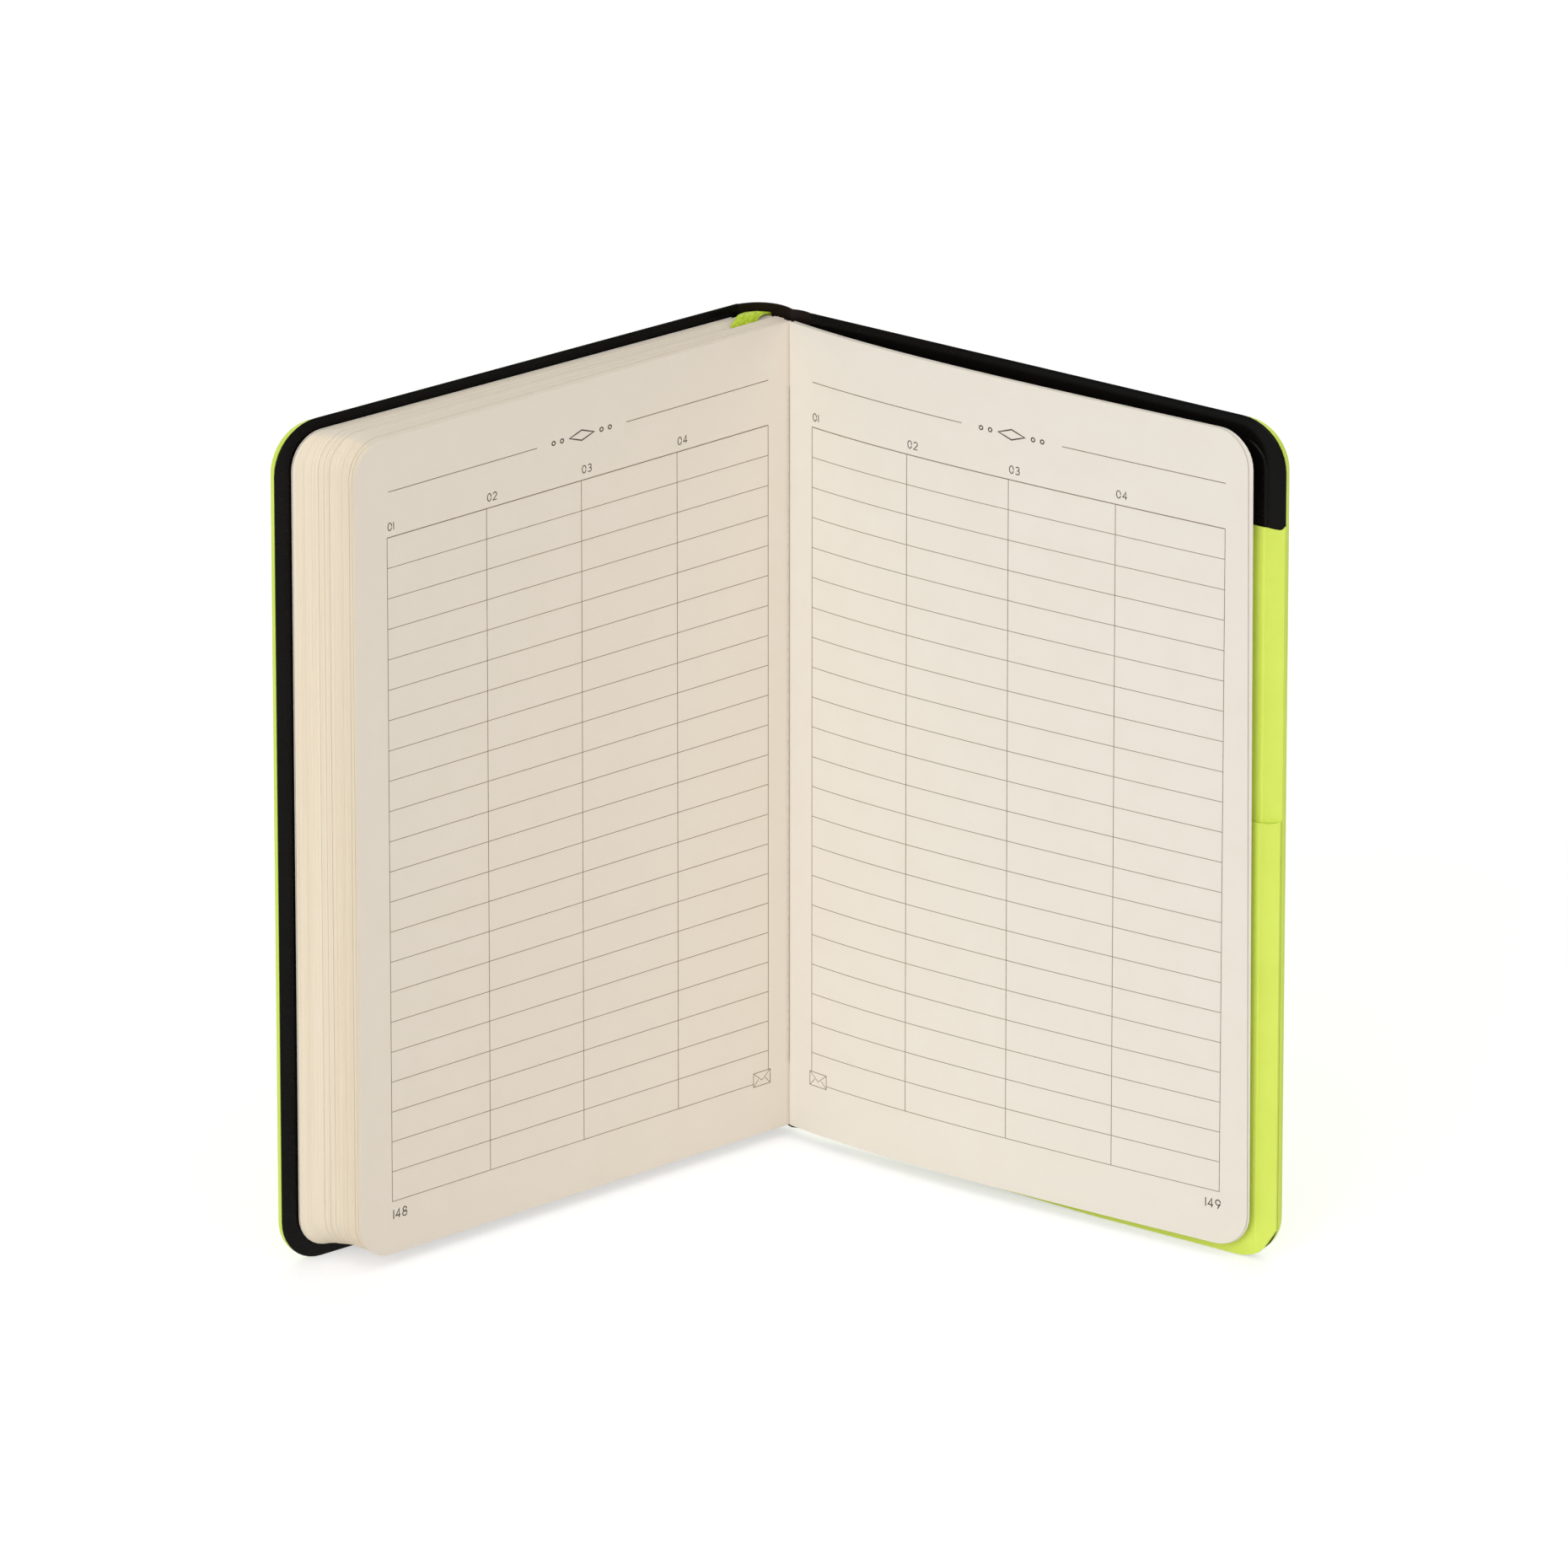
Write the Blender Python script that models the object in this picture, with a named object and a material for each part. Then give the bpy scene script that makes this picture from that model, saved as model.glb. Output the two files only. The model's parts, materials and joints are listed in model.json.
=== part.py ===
"""Case-bound lined notebook standing open on its tail edges, opened near its last leaves."""
import math

import bmesh
import bpy
from mathutils import Vector

MM = 0.001

# Covers: width from the hinge, height and corners
COVER_WIDTH = 118.5 * MM
COVER_HEIGHT = 180.6 * MM
COVER_CORNER = 9.5 * MM
SKIN_THICKNESS = 1.4 * MM
SKIN_BELOW_HEAD = 0.5 * MM
SKIN_ABOVE_TAIL = 0.1 * MM
SKIN_EDGE = 0.5 * MM
LINING_THICKNESS = 0.45 * MM
LINING_HEAD_CORNER = 10.4 * MM
LAYER_GAP = 0.15 * MM
RIDGE_INSET = 4.2 * MM
RIDGE_WIDTH = 0.6 * MM
RIDGE_HEIGHT = 0.2 * MM
BOARD_INSET = 4.4 * MM
BOARD_THICKNESS = 0.8 * MM
BOARD_CLEARANCE = 0.1 * MM
RECESS_SLOPE = 0.05 * MM
FRONT_HINGE_CLEARANCE = 0.9 * MM
FRONT_HINGE_SETBACK = 0.4 * MM
BACK_HINGE_SETBACK = 3.2 * MM
TAIL_RISE = 1.7 * MM
TAIL_RISE_LENGTH = 75.0 * MM

# Leaves and sewn sections
PAGE_WIDTH = 114.3 * MM
PAGE_HEIGHT = 175.8 * MM
TAIL_SQUARE = 2.6 * MM
PAGE_CORNER = 7.5 * MM
LEAF_THICKNESS = 0.15 * MM
SECTION_COUNT = 12
SECTION_GAP = 0.16 * MM
FOLD_LENGTH = 0.5 * MM
BLOCK_AT_FOLD = 8.9 * MM
BLOCK_SPREAD = 0.035
LEAF_ALLOWANCE = 0.3 * MM

# Rounded spine: centre beside the gutter, and the radius of each layer from the folds outwards
SPINE_CENTRE = (5.7 * MM, -2.1 * MM)
FOLD_RADIUS = 6.9 * MM
SPINE_START = math.radians(-106.0)
SPINE_SWEEP = math.radians(-86.0)
CLOTH_THICKNESS = 0.2 * MM
SPINE_LINING_THICKNESS = 0.4 * MM
CARD_THICKNESS = 0.6 * MM
SPINE_SKIN_THICKNESS = 0.9 * MM
SPINE_SKIN_SHORTER = 1.5 * MM
SPINE_LINING_TAIL = 1.5 * MM
CLOTH_SHORTER = 14.0 * MM

# Pose of the standing book in plan
LEFT_PAGE_ANGLE = math.radians(220.8)
FRONT_TILT = -math.atan(BLOCK_SPREAD)
BACK_COVER_OPEN = math.radians(104.3)

# Right-hand leaves: bend away from the back cover near the gutter, then run along it
BACK_AXIS = (-1.6 * MM, 1.2 * MM)
LEAF_START = -10.5
LEAF_END = 2.3
LEAF_DECAY = 30.0 * MM
LEAF_OFFSET = 0.74 * MM
LEAF_ROOT = -1.0 * MM
SECOND_LEAF_ROOT = 0.4 * MM
SECOND_LEAF_SPREAD = -0.05 * MM
BACK_FLYLEAF_ROOT = 0.9 * MM
BACK_FLYLEAF_SPREAD = -0.1 * MM
BACK_LINING_FACE = 0.6 * MM

# Front flyleaf
FRONT_FLYLEAF_ROOT = 6.5 * MM
FLYLEAF_GAP = 0.2 * MM

# Pocket: its back sheet turns over the fore-edge of the lining
POCKET_SIDE = 14.0 * MM
POCKET_TAIL = 0.2 * MM
POCKET_LIP = 0.85 * MM
POCKET_BACK_TOP = 158.2 * MM
POCKET_TOP_RISE = 1.0 * MM
POCKET_FRONT_TOP = 94.3 * MM
POCKET_BACK_THICKNESS = 0.2 * MM
POCKET_FRONT_THICKNESS = 0.5 * MM

# Lower pocket corner, cut in unequal folds: angle in degrees and how far it passes the cover's round corner
POCKET_CORNER = (
    (-79.0, -0.1 * MM), (-65.0, 0.0), (-56.0, 0.15 * MM), (-45.0, 0.0), (-20.0, 0.0), (-10.0, 0.1 * MM)
)

# Ribbon and thread
RIBBON_WIDTH = 7.0 * MM
RIBBON_THICKNESS = 0.2 * MM
RIBBON_SLOT = 0.5 * MM
RIBBON_SECTION = 6
RIBBON_GLUED = 30.0 * MM
RIBBON_END = 55.3 * MM
RIBBON_RISE = 0.3 * MM
RIBBON_HUMP = 0.9 * MM
RIBBON_FLAT_END = 0.3
RIBBON_SWELL_SPAN = 0.4
RIBBON_TURN = 1.3 * MM
RIBBON_ANGLE = -134.0
RIBBON_SLOT_AT = 7.1 * MM
RIBBON_TWIST_STEPS = 8
RIBBON_COLUMNS = 6
THREAD_RADIUS = 0.12 * MM
THREAD_AT = -0.45 * MM
THREAD_LIFT = 0.05 * MM
THREAD_MARGIN = 14.0 * MM

ARC_STEPS = 8

PAGE_BOTTOM = TAIL_SQUARE
PAGE_TOP = TAIL_SQUARE + PAGE_HEIGHT
SKIN_BOTTOM = SKIN_ABOVE_TAIL
SKIN_TOP = COVER_HEIGHT - SKIN_BELOW_HEAD
CLOTH_RADIUS = FOLD_RADIUS + LAYER_GAP
RIBBON_RADIUS = CLOTH_RADIUS + CLOTH_THICKNESS + 0.5 * LAYER_GAP
SPINE_LINING_RADIUS = RIBBON_RADIUS + RIBBON_THICKNESS + LAYER_GAP
CARD_RADIUS = SPINE_LINING_RADIUS + SPINE_LINING_THICKNESS + LAYER_GAP
SPINE_SKIN_RADIUS = CARD_RADIUS + CARD_THICKNESS + LAYER_GAP

for old in list(bpy.data.objects):
    bpy.data.objects.remove(old, do_unlink=True)

notebook = bpy.data.collections.new("lined_notebook")
bpy.context.scene.collection.children.link(notebook)


def linear(value):
    """Display colour value to scene-linear value."""
    value /= 255.0
    return value / 12.92 if value <= 0.04045 else ((value + 0.055) / 1.055) ** 2.4


def material(name, red, green, blue, roughness):
    """Plain Principled material from display colours."""
    made = bpy.data.materials.new(name)
    made.use_nodes = True
    shader = made.node_tree.nodes["Principled BSDF"]
    shader.inputs["Base Color"].default_value = (linear(red), linear(green), linear(blue), 1.0)
    shader.inputs["Roughness"].default_value = roughness
    shader.inputs["Metallic"].default_value = 0.0
    return made


def pivot(name, location, angle):
    """Empty on a joint axis; its X runs along the piece away from the hinge."""
    empty = bpy.data.objects.new(name, None)
    empty.empty_display_size = 0.01
    empty.location = (location[0], location[1], 0.0)
    empty.rotation_euler = (0.0, 0.0, angle)
    notebook.objects.link(empty)
    return empty


def add_object(name, data, parent, colour, roughness):
    """Links one named piece under its pivot with its own material."""
    piece = bpy.data.objects.new(name, data)
    data.materials.append(material(name, *colour, roughness))
    notebook.objects.link(piece)
    piece.parent = parent
    return piece


def rounded_outline(u0, u1, z0, z1, tail_radius, head_radius):
    """Sheet outline: square at the hinge side, two round corners at the fore-edge."""
    points = [(u0, z0)]
    tail_corner = (z0 + tail_radius, tail_radius, -0.5 * math.pi)
    head_corner = (z1 - head_radius, head_radius, 0.0)
    for centre_z, radius, start in (tail_corner, head_corner):
        for step in range(ARC_STEPS + 1):
            angle = start + 0.5 * math.pi * step / ARC_STEPS
            points.append((u1 - radius + radius * math.cos(angle), centre_z + radius * math.sin(angle)))
    points.append((u0, z1))
    return points


def tail_rise(u):
    """How far a cover's tail edge stands off the table; the soft cover sags away from its hinge."""
    return TAIL_RISE * max(1.0 - u / TAIL_RISE_LENGTH, 0.0)


def sagged(outline):
    """The same outline with its tail edge rising towards the hinge."""
    u0, z0 = outline[0]
    return [(u0, z0 + tail_rise(u0)), (TAIL_RISE_LENGTH, z0)] + outline[1:]


def sheet_mesh(outline, cuts, face_a, face_b):
    """Solid between two faces: an outline cut into strips, thickened, each face laid along its plan curve."""
    mesh = bmesh.new()
    mesh.faces.new([mesh.verts.new((u, 0.0, z)) for u, z in outline])
    for cut in cuts:
        everything = mesh.verts[:] + mesh.edges[:] + mesh.faces[:]
        bmesh.ops.bisect_plane(
            mesh, geom=everything, dist=1e-7, plane_co=(cut, 0.0, 0.0), plane_no=(1.0, 0.0, 0.0)
        )
    thickened = bmesh.ops.extrude_face_region(mesh, geom=mesh.faces[:])
    first = {item for item in thickened["geom"] if isinstance(item, bmesh.types.BMVert)}
    for vert in mesh.verts:
        x, y = face_a(vert.co.x) if vert in first else face_b(vert.co.x)
        vert.co = (x, y, vert.co.z)
    bmesh.ops.recalc_face_normals(mesh, faces=mesh.faces[:])
    return mesh


def flat(y):
    """Plan line of a flat face at distance y from the pivot."""
    return lambda u: (u, y)


def stepped_panel(mesh, normal_y, inset, slope, rise):
    """Raises (or sinks) the middle of the flat face that looks along normal_y."""
    face = max(mesh.faces, key=lambda f: f.calc_area() * (f.normal.y * normal_y > 0.9))
    bmesh.ops.inset_region(mesh, faces=[face], thickness=inset, use_even_offset=True)
    bmesh.ops.inset_region(mesh, faces=[face], thickness=slope, depth=rise, use_even_offset=True)


def soften_edge(mesh, normal_y, start):
    """Rounds the rim of the flat face that looks along normal_y, apart from its hinge side."""
    face = max(mesh.faces, key=lambda f: f.calc_area() * (f.normal.y * normal_y > 0.9))
    rim = [edge for edge in face.edges if max(vert.co.x for vert in edge.verts) > start + SKIN_EDGE]
    bmesh.ops.bevel(mesh, geom=rim, offset=SKIN_EDGE, segments=2, profile=0.5, affect="EDGES")


def finish_mesh(name, mesh, parent, colour, roughness, curved=False):
    """Turns a built mesh into one piece of the notebook; curved faces are shaded smooth up to a crease."""
    data = bpy.data.meshes.new(name)
    mesh.to_mesh(data)
    mesh.free()
    if curved:
        data.shade_smooth()
        data.set_sharp_from_angle(angle=math.radians(30.0))
    return add_object(name, data, parent, colour, roughness)


LIME = (209, 231, 92)
BLACK = (33, 28, 28)
PAPER = (236, 226, 209)
CARD = (176, 160, 136)
CLOTH = (224, 219, 205)
THREAD = (240, 235, 222)


def spread_angle(local):
    """Plan angle of a direction measured from the left page."""
    return LEFT_PAGE_ANGLE + local


def in_plan(point):
    """Plan point from a distance along the left page and a distance out of it."""
    along = Vector((math.cos(LEFT_PAGE_ANGLE), math.sin(LEFT_PAGE_ANGLE)))
    out = Vector((-along.y, along.x))
    return along * point[0] + out * point[1]


block_axis = pivot("block_axis", in_plan((0.0, 0.0)), LEFT_PAGE_ANGLE)


# Text block

def block_depth(p):
    """Thickness of the left-hand block at distance p from the gutter."""
    return BLOCK_AT_FOLD + BLOCK_SPREAD * p


def fold_at(q):
    """Distance along the page at which a fold at depth q meets the rounded back."""
    inside = FOLD_RADIUS ** 2 - (q - SPINE_CENTRE[1]) ** 2
    return SPINE_CENTRE[0] - math.sqrt(max(inside, 0.0))


def block_face(share, shift):
    """Plan line of a sheet face that lies at a share of the block's depth."""
    def place(u):
        start = fold_at(-(LEAF_ALLOWANCE + (BLOCK_AT_FOLD - LEAF_ALLOWANCE) * share))
        p = start + u
        return p, -(LEAF_ALLOWANCE + (block_depth(p) - LEAF_ALLOWANCE) * share) + shift
    return place


def folded(face, middle):
    """The same plan line with its first point drawn towards the middle of the fold."""
    def place(u):
        if u > 0.5 * FOLD_LENGTH:
            return face(u)
        here = Vector(face(u))
        return tuple(here.lerp(Vector(middle(u)), 0.6))
    return place


page_outline = rounded_outline(0.0, PAGE_WIDTH, PAGE_BOTTOM, PAGE_TOP, PAGE_CORNER, PAGE_CORNER)

for index in range(SECTION_COUNT):
    near_gap = 0.5 * (RIBBON_SLOT if index == RIBBON_SECTION else SECTION_GAP)
    far_gap = 0.5 * (RIBBON_SLOT if index + 1 == RIBBON_SECTION else SECTION_GAP)
    near_face = block_face(index / SECTION_COUNT, -near_gap)
    far_face = block_face((index + 1) / SECTION_COUNT, far_gap)
    mid_face = block_face((index + 0.5) / SECTION_COUNT, 0.0)
    section = sheet_mesh(
        page_outline, [FOLD_LENGTH], folded(near_face, mid_face), folded(far_face, mid_face)
    )
    finish_mesh(f"section_{index + 1:02d}", section, block_axis, PAPER, 0.85)

left_leaf_start = fold_at(0.0)
left_leaf = sheet_mesh(
    page_outline,
    [],
    lambda u: (left_leaf_start + u, 0.0),
    lambda u: (left_leaf_start + u, -LEAF_THICKNESS),
)
finish_mesh("left_leaf", left_leaf, block_axis, PAPER, 0.85)


# Spine layers, each an arc about the same centre

def spine_layer(name, radius, thickness, z0, z1, colour, roughness):
    """Curved strip of the rounded spine."""
    length = abs(SPINE_SWEEP) * radius
    steps = 18

    def arc(r):
        def place(u):
            angle = SPINE_START + SPINE_SWEEP * u / length
            return SPINE_CENTRE[0] + r * math.cos(angle), SPINE_CENTRE[1] + r * math.sin(angle)
        return place

    outline = [(0.0, z0), (length, z0), (length, z1), (0.0, z1)]
    cuts = [length * step / steps for step in range(1, steps)]
    layer = sheet_mesh(outline, cuts, arc(radius + thickness), arc(radius))
    finish_mesh(name, layer, block_axis, colour, roughness, True)


spine_layer("backing_cloth", CLOTH_RADIUS, CLOTH_THICKNESS, PAGE_BOTTOM + CLOTH_SHORTER,
            PAGE_TOP - CLOTH_SHORTER, CLOTH, 0.9)
spine_layer("spine_lining", SPINE_LINING_RADIUS, SPINE_LINING_THICKNESS, SPINE_LINING_TAIL,
            COVER_HEIGHT, BLACK, 0.55)
spine_skin_top = COVER_HEIGHT - SPINE_SKIN_SHORTER
spine_layer("spine_card", CARD_RADIUS, CARD_THICKNESS, SPINE_SKIN_SHORTER + LAYER_GAP,
            spine_skin_top - LAYER_GAP, CARD, 0.9)
spine_layer("spine_skin", SPINE_SKIN_RADIUS, SPINE_SKIN_THICKNESS, SPINE_SKIN_SHORTER,
            spine_skin_top, LIME, 0.5)


# Covers

def cover(side, parent, start, skin_in, lining_in, lining_face, inward):
    """Skin with a recess, board in the recess, and lining with a raised panel, on one pivot."""
    skin_out = skin_in - inward * SKIN_THICKNESS
    skin_outline = rounded_outline(start, COVER_WIDTH, SKIN_BOTTOM, SKIN_TOP, COVER_CORNER, COVER_CORNER)
    skin = sheet_mesh(sagged(skin_outline), [], flat(skin_in), flat(skin_out))
    recess = BOARD_THICKNESS + 2.0 * BOARD_CLEARANCE
    stepped_panel(skin, inward, BOARD_INSET, RECESS_SLOPE, -recess)
    soften_edge(skin, -inward, start)
    finish_mesh(f"{side}_cover_skin", skin, parent, LIME, 0.5, True)

    edge = BOARD_INSET + RECESS_SLOPE + BOARD_CLEARANCE
    board_corner = COVER_CORNER - edge
    board_outline = rounded_outline(
        start + edge, COVER_WIDTH - edge, SKIN_BOTTOM + edge, SKIN_TOP - edge, board_corner, board_corner
    )
    board_in = skin_in - inward * BOARD_CLEARANCE
    board_out = board_in - inward * BOARD_THICKNESS
    board = sheet_mesh(sagged(board_outline), [], flat(board_in), flat(board_out))
    finish_mesh(f"{side}_cover_board", board, parent, CARD, 0.9)

    lining_outline = rounded_outline(
        start, COVER_WIDTH, 0.0, COVER_HEIGHT, COVER_CORNER, LINING_HEAD_CORNER
    )
    lining = sheet_mesh(sagged(lining_outline), [], flat(lining_face), flat(lining_in))
    stepped_panel(lining, inward, RIDGE_INSET, RIDGE_WIDTH, RIDGE_HEIGHT)
    finish_mesh(f"{side}_cover_lining", lining, parent, BLACK, 0.55)


front_face_depth = BLOCK_AT_FOLD + 2.0 * FLYLEAF_GAP + LEAF_THICKNESS + RIDGE_HEIGHT
front_stack = LINING_THICKNESS + LAYER_GAP + SKIN_THICKNESS + LAYER_GAP
spine_outside = SPINE_SKIN_RADIUS + SPINE_SKIN_THICKNESS
front_axis_p = SPINE_CENTRE[0] + spine_outside * math.cos(SPINE_START) + FRONT_HINGE_CLEARANCE
front_axis_q = -(front_face_depth + BLOCK_SPREAD * front_axis_p) - front_stack / math.cos(FRONT_TILT)
front_axis = pivot("front_axis", in_plan((front_axis_p, front_axis_q)), spread_angle(FRONT_TILT))
front_lining_face = front_stack
front_lining_back = front_lining_face - LINING_THICKNESS
front_skin_in = front_lining_back - LAYER_GAP
cover("front", front_axis, FRONT_HINGE_SETBACK, front_skin_in, front_lining_back, front_lining_face, 1.0)

back_axis = pivot("back_axis", in_plan(BACK_AXIS), spread_angle(BACK_COVER_OPEN))
back_lining_back = BACK_LINING_FACE + LINING_THICKNESS
back_skin_in = back_lining_back + LAYER_GAP
cover("back", back_axis, BACK_HINGE_SETBACK, back_skin_in, back_lining_back, BACK_LINING_FACE, -1.0)


# Pocket on the back cover lining: a sheet with a shorter panel over it, open at the top

def pocket_outline(right, lip, top, rise):
    """Pocket sheet: folded lower corner, a lip past its fold, and a top that rises into the lip."""
    centre_u, centre_z = COVER_WIDTH - COVER_CORNER, COVER_CORNER
    points = sagged([(POCKET_SIDE, POCKET_TAIL), (centre_u, POCKET_TAIL)])
    for degrees, past in POCKET_CORNER:
        angle = math.radians(degrees)
        radius = COVER_CORNER + past
        points.append((centre_u + radius * math.cos(angle), centre_z + radius * math.sin(angle)))
    points.append((right, centre_z + 2.0 * (right - COVER_WIDTH)))
    if lip:
        points.append((right + lip, points[-1][1]))
        points.append((right + lip, top + rise))
    points.append((right, top + rise))
    if rise:
        points.append((right - 0.4 * rise, top + 0.4 * rise))
        points.append((right - rise, top + 0.1 * rise))
        points.append((right - 2.0 * rise, top))
    points.append((POCKET_SIDE, top))
    return points


pocket_back_face = BACK_LINING_FACE - RIDGE_HEIGHT - LAYER_GAP
pocket_fold = COVER_WIDTH + LAYER_GAP
lip_growth = 1.0 + POCKET_BACK_THICKNESS / POCKET_LIP


def pocket_inside(u):
    """Plan line of the pocket sheet's face on the lining, turned over the lining's edge."""
    return min(u, pocket_fold), pocket_back_face + max(u - pocket_fold, 0.0)


def pocket_outside(u):
    """Plan line of the pocket sheet's open face."""
    y = pocket_back_face - POCKET_BACK_THICKNESS
    if u < pocket_fold - LAYER_GAP:
        return u, y
    return pocket_fold + POCKET_BACK_THICKNESS, y + max(u - pocket_fold, 0.0) * lip_growth


pocket_back = sheet_mesh(
    pocket_outline(pocket_fold, POCKET_LIP, POCKET_BACK_TOP, POCKET_TOP_RISE),
    [pocket_fold], pocket_inside, pocket_outside
)
finish_mesh("pocket_back_sheet", pocket_back, back_axis, LIME, 0.6)
pocket_front_face = pocket_back_face - POCKET_BACK_THICKNESS - LAYER_GAP
pocket_front = sheet_mesh(
    pocket_outline(pocket_fold + POCKET_BACK_THICKNESS, 0.0, POCKET_FRONT_TOP, 0.0),
    [], flat(pocket_front_face), flat(pocket_front_face - POCKET_FRONT_THICKNESS)
)
finish_mesh("pocket_front_panel", pocket_front, back_axis, LIME, 0.6)


# Right-hand leaves on the back hinge line

def leaf_path(u):
    """Distance of the open right-hand page from the hinge plane of the back cover."""
    turned = LEAF_END * u + (LEAF_START - LEAF_END) * LEAF_DECAY * (1.0 - math.exp(-u / LEAF_DECAY))
    return -LEAF_OFFSET + math.radians(turned)


def right_leaf(name, root, spread):
    """Bent leaf that follows the open page at a growing distance."""
    axis = pivot(f"{name}_axis", in_plan(BACK_AXIS), spread_angle(BACK_COVER_OPEN))
    steps = 20
    outline = rounded_outline(
        LEAF_ROOT, LEAF_ROOT + PAGE_WIDTH, PAGE_BOTTOM, PAGE_TOP, PAGE_CORNER, PAGE_CORNER
    )
    cuts = [LEAF_ROOT + PAGE_WIDTH * (step / steps) ** 1.5 for step in range(1, steps)]

    def side(shift):
        return lambda u: (u, leaf_path(u) + root + spread * u / PAGE_WIDTH + shift)

    leaf = sheet_mesh(outline, cuts, side(-0.5 * LEAF_THICKNESS), side(0.5 * LEAF_THICKNESS))
    finish_mesh(name, leaf, axis, PAPER, 0.85, True)


right_leaf("right_leaf_1", 0.0, 0.0)
right_leaf("right_leaf_2", SECOND_LEAF_ROOT, SECOND_LEAF_SPREAD)
right_leaf("back_flyleaf", BACK_FLYLEAF_ROOT, BACK_FLYLEAF_SPREAD)

# Front flyleaf between the block and the front cover
flyleaf_q = -(block_depth(FRONT_FLYLEAF_ROOT) + FLYLEAF_GAP + 0.5 * LEAF_THICKNESS)
flyleaf_axis = pivot("front_flyleaf_axis", in_plan((FRONT_FLYLEAF_ROOT, flyleaf_q)), spread_angle(FRONT_TILT))
flyleaf_end = fold_at(-BLOCK_AT_FOLD) + PAGE_WIDTH - FRONT_FLYLEAF_ROOT
flyleaf_outline = rounded_outline(0.0, flyleaf_end, PAGE_BOTTOM, PAGE_TOP, PAGE_CORNER, PAGE_CORNER)
flyleaf = sheet_mesh(flyleaf_outline, [], flat(0.5 * LEAF_THICKNESS), flat(-0.5 * LEAF_THICKNESS))
finish_mesh("front_flyleaf", flyleaf, flyleaf_axis, PAPER, 0.85)

# Sewing thread lying in the open fold
thread_curve = bpy.data.curves.new("sewing_thread", "CURVE")
thread_curve.dimensions = "3D"
thread_curve.bevel_depth = THREAD_RADIUS
thread_curve.bevel_resolution = 1
thread_curve.use_fill_caps = True
thread_line = thread_curve.splines.new("POLY")
thread_line.points.add(1)
for point, height in zip(thread_line.points, (PAGE_BOTTOM + THREAD_MARGIN, PAGE_TOP - THREAD_MARGIN)):
    point.co = (THREAD_AT, THREAD_RADIUS + THREAD_LIFT, height, 1.0)
add_object("sewing_thread", thread_curve, block_axis, THREAD, 0.7)


# Ribbon marker: glued behind the folds, over the head of the block, down between two sections

def ribbon_rows():
    """Rows along the ribbon; each row has points across its width and the direction of its thickness."""
    up = Vector((0.0, 0.0, 1.0))
    centre = Vector((SPINE_CENTRE[0], SPINE_CENTRE[1], 0.0))
    middle = math.radians(RIBBON_ANGLE)
    radius = RIBBON_RADIUS + 0.5 * RIBBON_THICKNESS
    shares = [column / RIBBON_COLUMNS - 0.5 for column in range(RIBBON_COLUMNS + 1)]

    def on_arc(r, height, lean):
        row = []
        for share in shares:
            angle = middle + share * RIBBON_WIDTH / radius
            out = Vector((math.cos(angle), math.sin(angle), 0.0))
            row.append((centre + out * r + up * height, out.lerp(up, lean).normalized()))
        return row

    slot_p = RIBBON_SLOT_AT
    slot_q = block_face(RIBBON_SECTION / SECTION_COUNT, 0.0)(slot_p - fold_at(-0.5 * BLOCK_AT_FOLD))[1]
    slot_dir = Vector((1.0, -0.5 * BLOCK_SPREAD, 0.0)).normalized()
    slot_out = Vector((-slot_dir.y, slot_dir.x, 0.0))

    def in_slot(height):
        base = Vector((slot_p, slot_q, height))
        return [(base + slot_dir * share * RIBBON_WIDTH, slot_out) for share in shares]

    over = on_arc(radius - RIBBON_TURN, PAGE_TOP + 2.0 * RIBBON_RISE, 1.0)
    down = in_slot(PAGE_TOP + RIBBON_RISE)
    rows = [
        on_arc(radius, PAGE_TOP - RIBBON_GLUED, 0.0),
        on_arc(radius, PAGE_TOP + 0.3 * RIBBON_RISE, 0.0),
        on_arc(radius - 0.25 * RIBBON_TURN, PAGE_TOP + 1.4 * RIBBON_RISE, 0.5),
        over,
    ]
    for step in range(1, RIBBON_TWIST_STEPS):
        share = step / RIBBON_TWIST_STEPS
        row = []
        for across, (start, start_out), (end, end_out) in zip(shares, over, down):
            swell = min((across + 0.5) / RIBBON_SWELL_SPAN, 1.0)
            hump = RIBBON_HUMP * (RIBBON_FLAT_END + (1.0 - RIBBON_FLAT_END) * swell)
            point = start.lerp(end, share) + up * hump * 4.0 * share * (1.0 - share)
            row.append((point, start_out.lerp(end_out, share ** 3).normalized()))
        rows.append(row)
    rows.append(down)
    rows.append(in_slot(PAGE_TOP - RIBBON_WIDTH))
    rows.append(in_slot(RIBBON_END))
    return rows


ribbon = bmesh.new()
loops = []
for row in ribbon_rows():
    lower = [point - out * 0.5 * RIBBON_THICKNESS for point, out in row]
    upper = [point + out * 0.5 * RIBBON_THICKNESS for point, out in reversed(row)]
    loops.append([ribbon.verts.new(corner) for corner in lower + upper])
count = len(loops[0])
for first, second in zip(loops, loops[1:]):
    for side in range(count):
        after = (side + 1) % count
        ribbon.faces.new((first[side], first[after], second[after], second[side]))
for cap in (loops[0], loops[-1]):
    for column in range(RIBBON_COLUMNS):
        last = count - 1 - column
        ribbon.faces.new((cap[column], cap[column + 1], cap[last - 1], cap[last]))
bmesh.ops.recalc_face_normals(ribbon, faces=ribbon.faces[:])
finish_mesh("ribbon_marker", ribbon, block_axis, LIME, 0.6, True)

# The middle of the footprint is the origin
bpy.context.view_layer.update()
corners = []
for piece in notebook.objects:
    if piece.type == "MESH":
        corners.extend(piece.matrix_world @ vert.co for vert in piece.data.vertices)
middle_x = 0.5 * (min(c.x for c in corners) + max(c.x for c in corners))
middle_y = 0.5 * (min(c.y for c in corners) + max(c.y for c in corners))
for empty in notebook.objects:
    if empty.type == "EMPTY":
        empty.location.x -= middle_x
        empty.location.y -= middle_y
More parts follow.
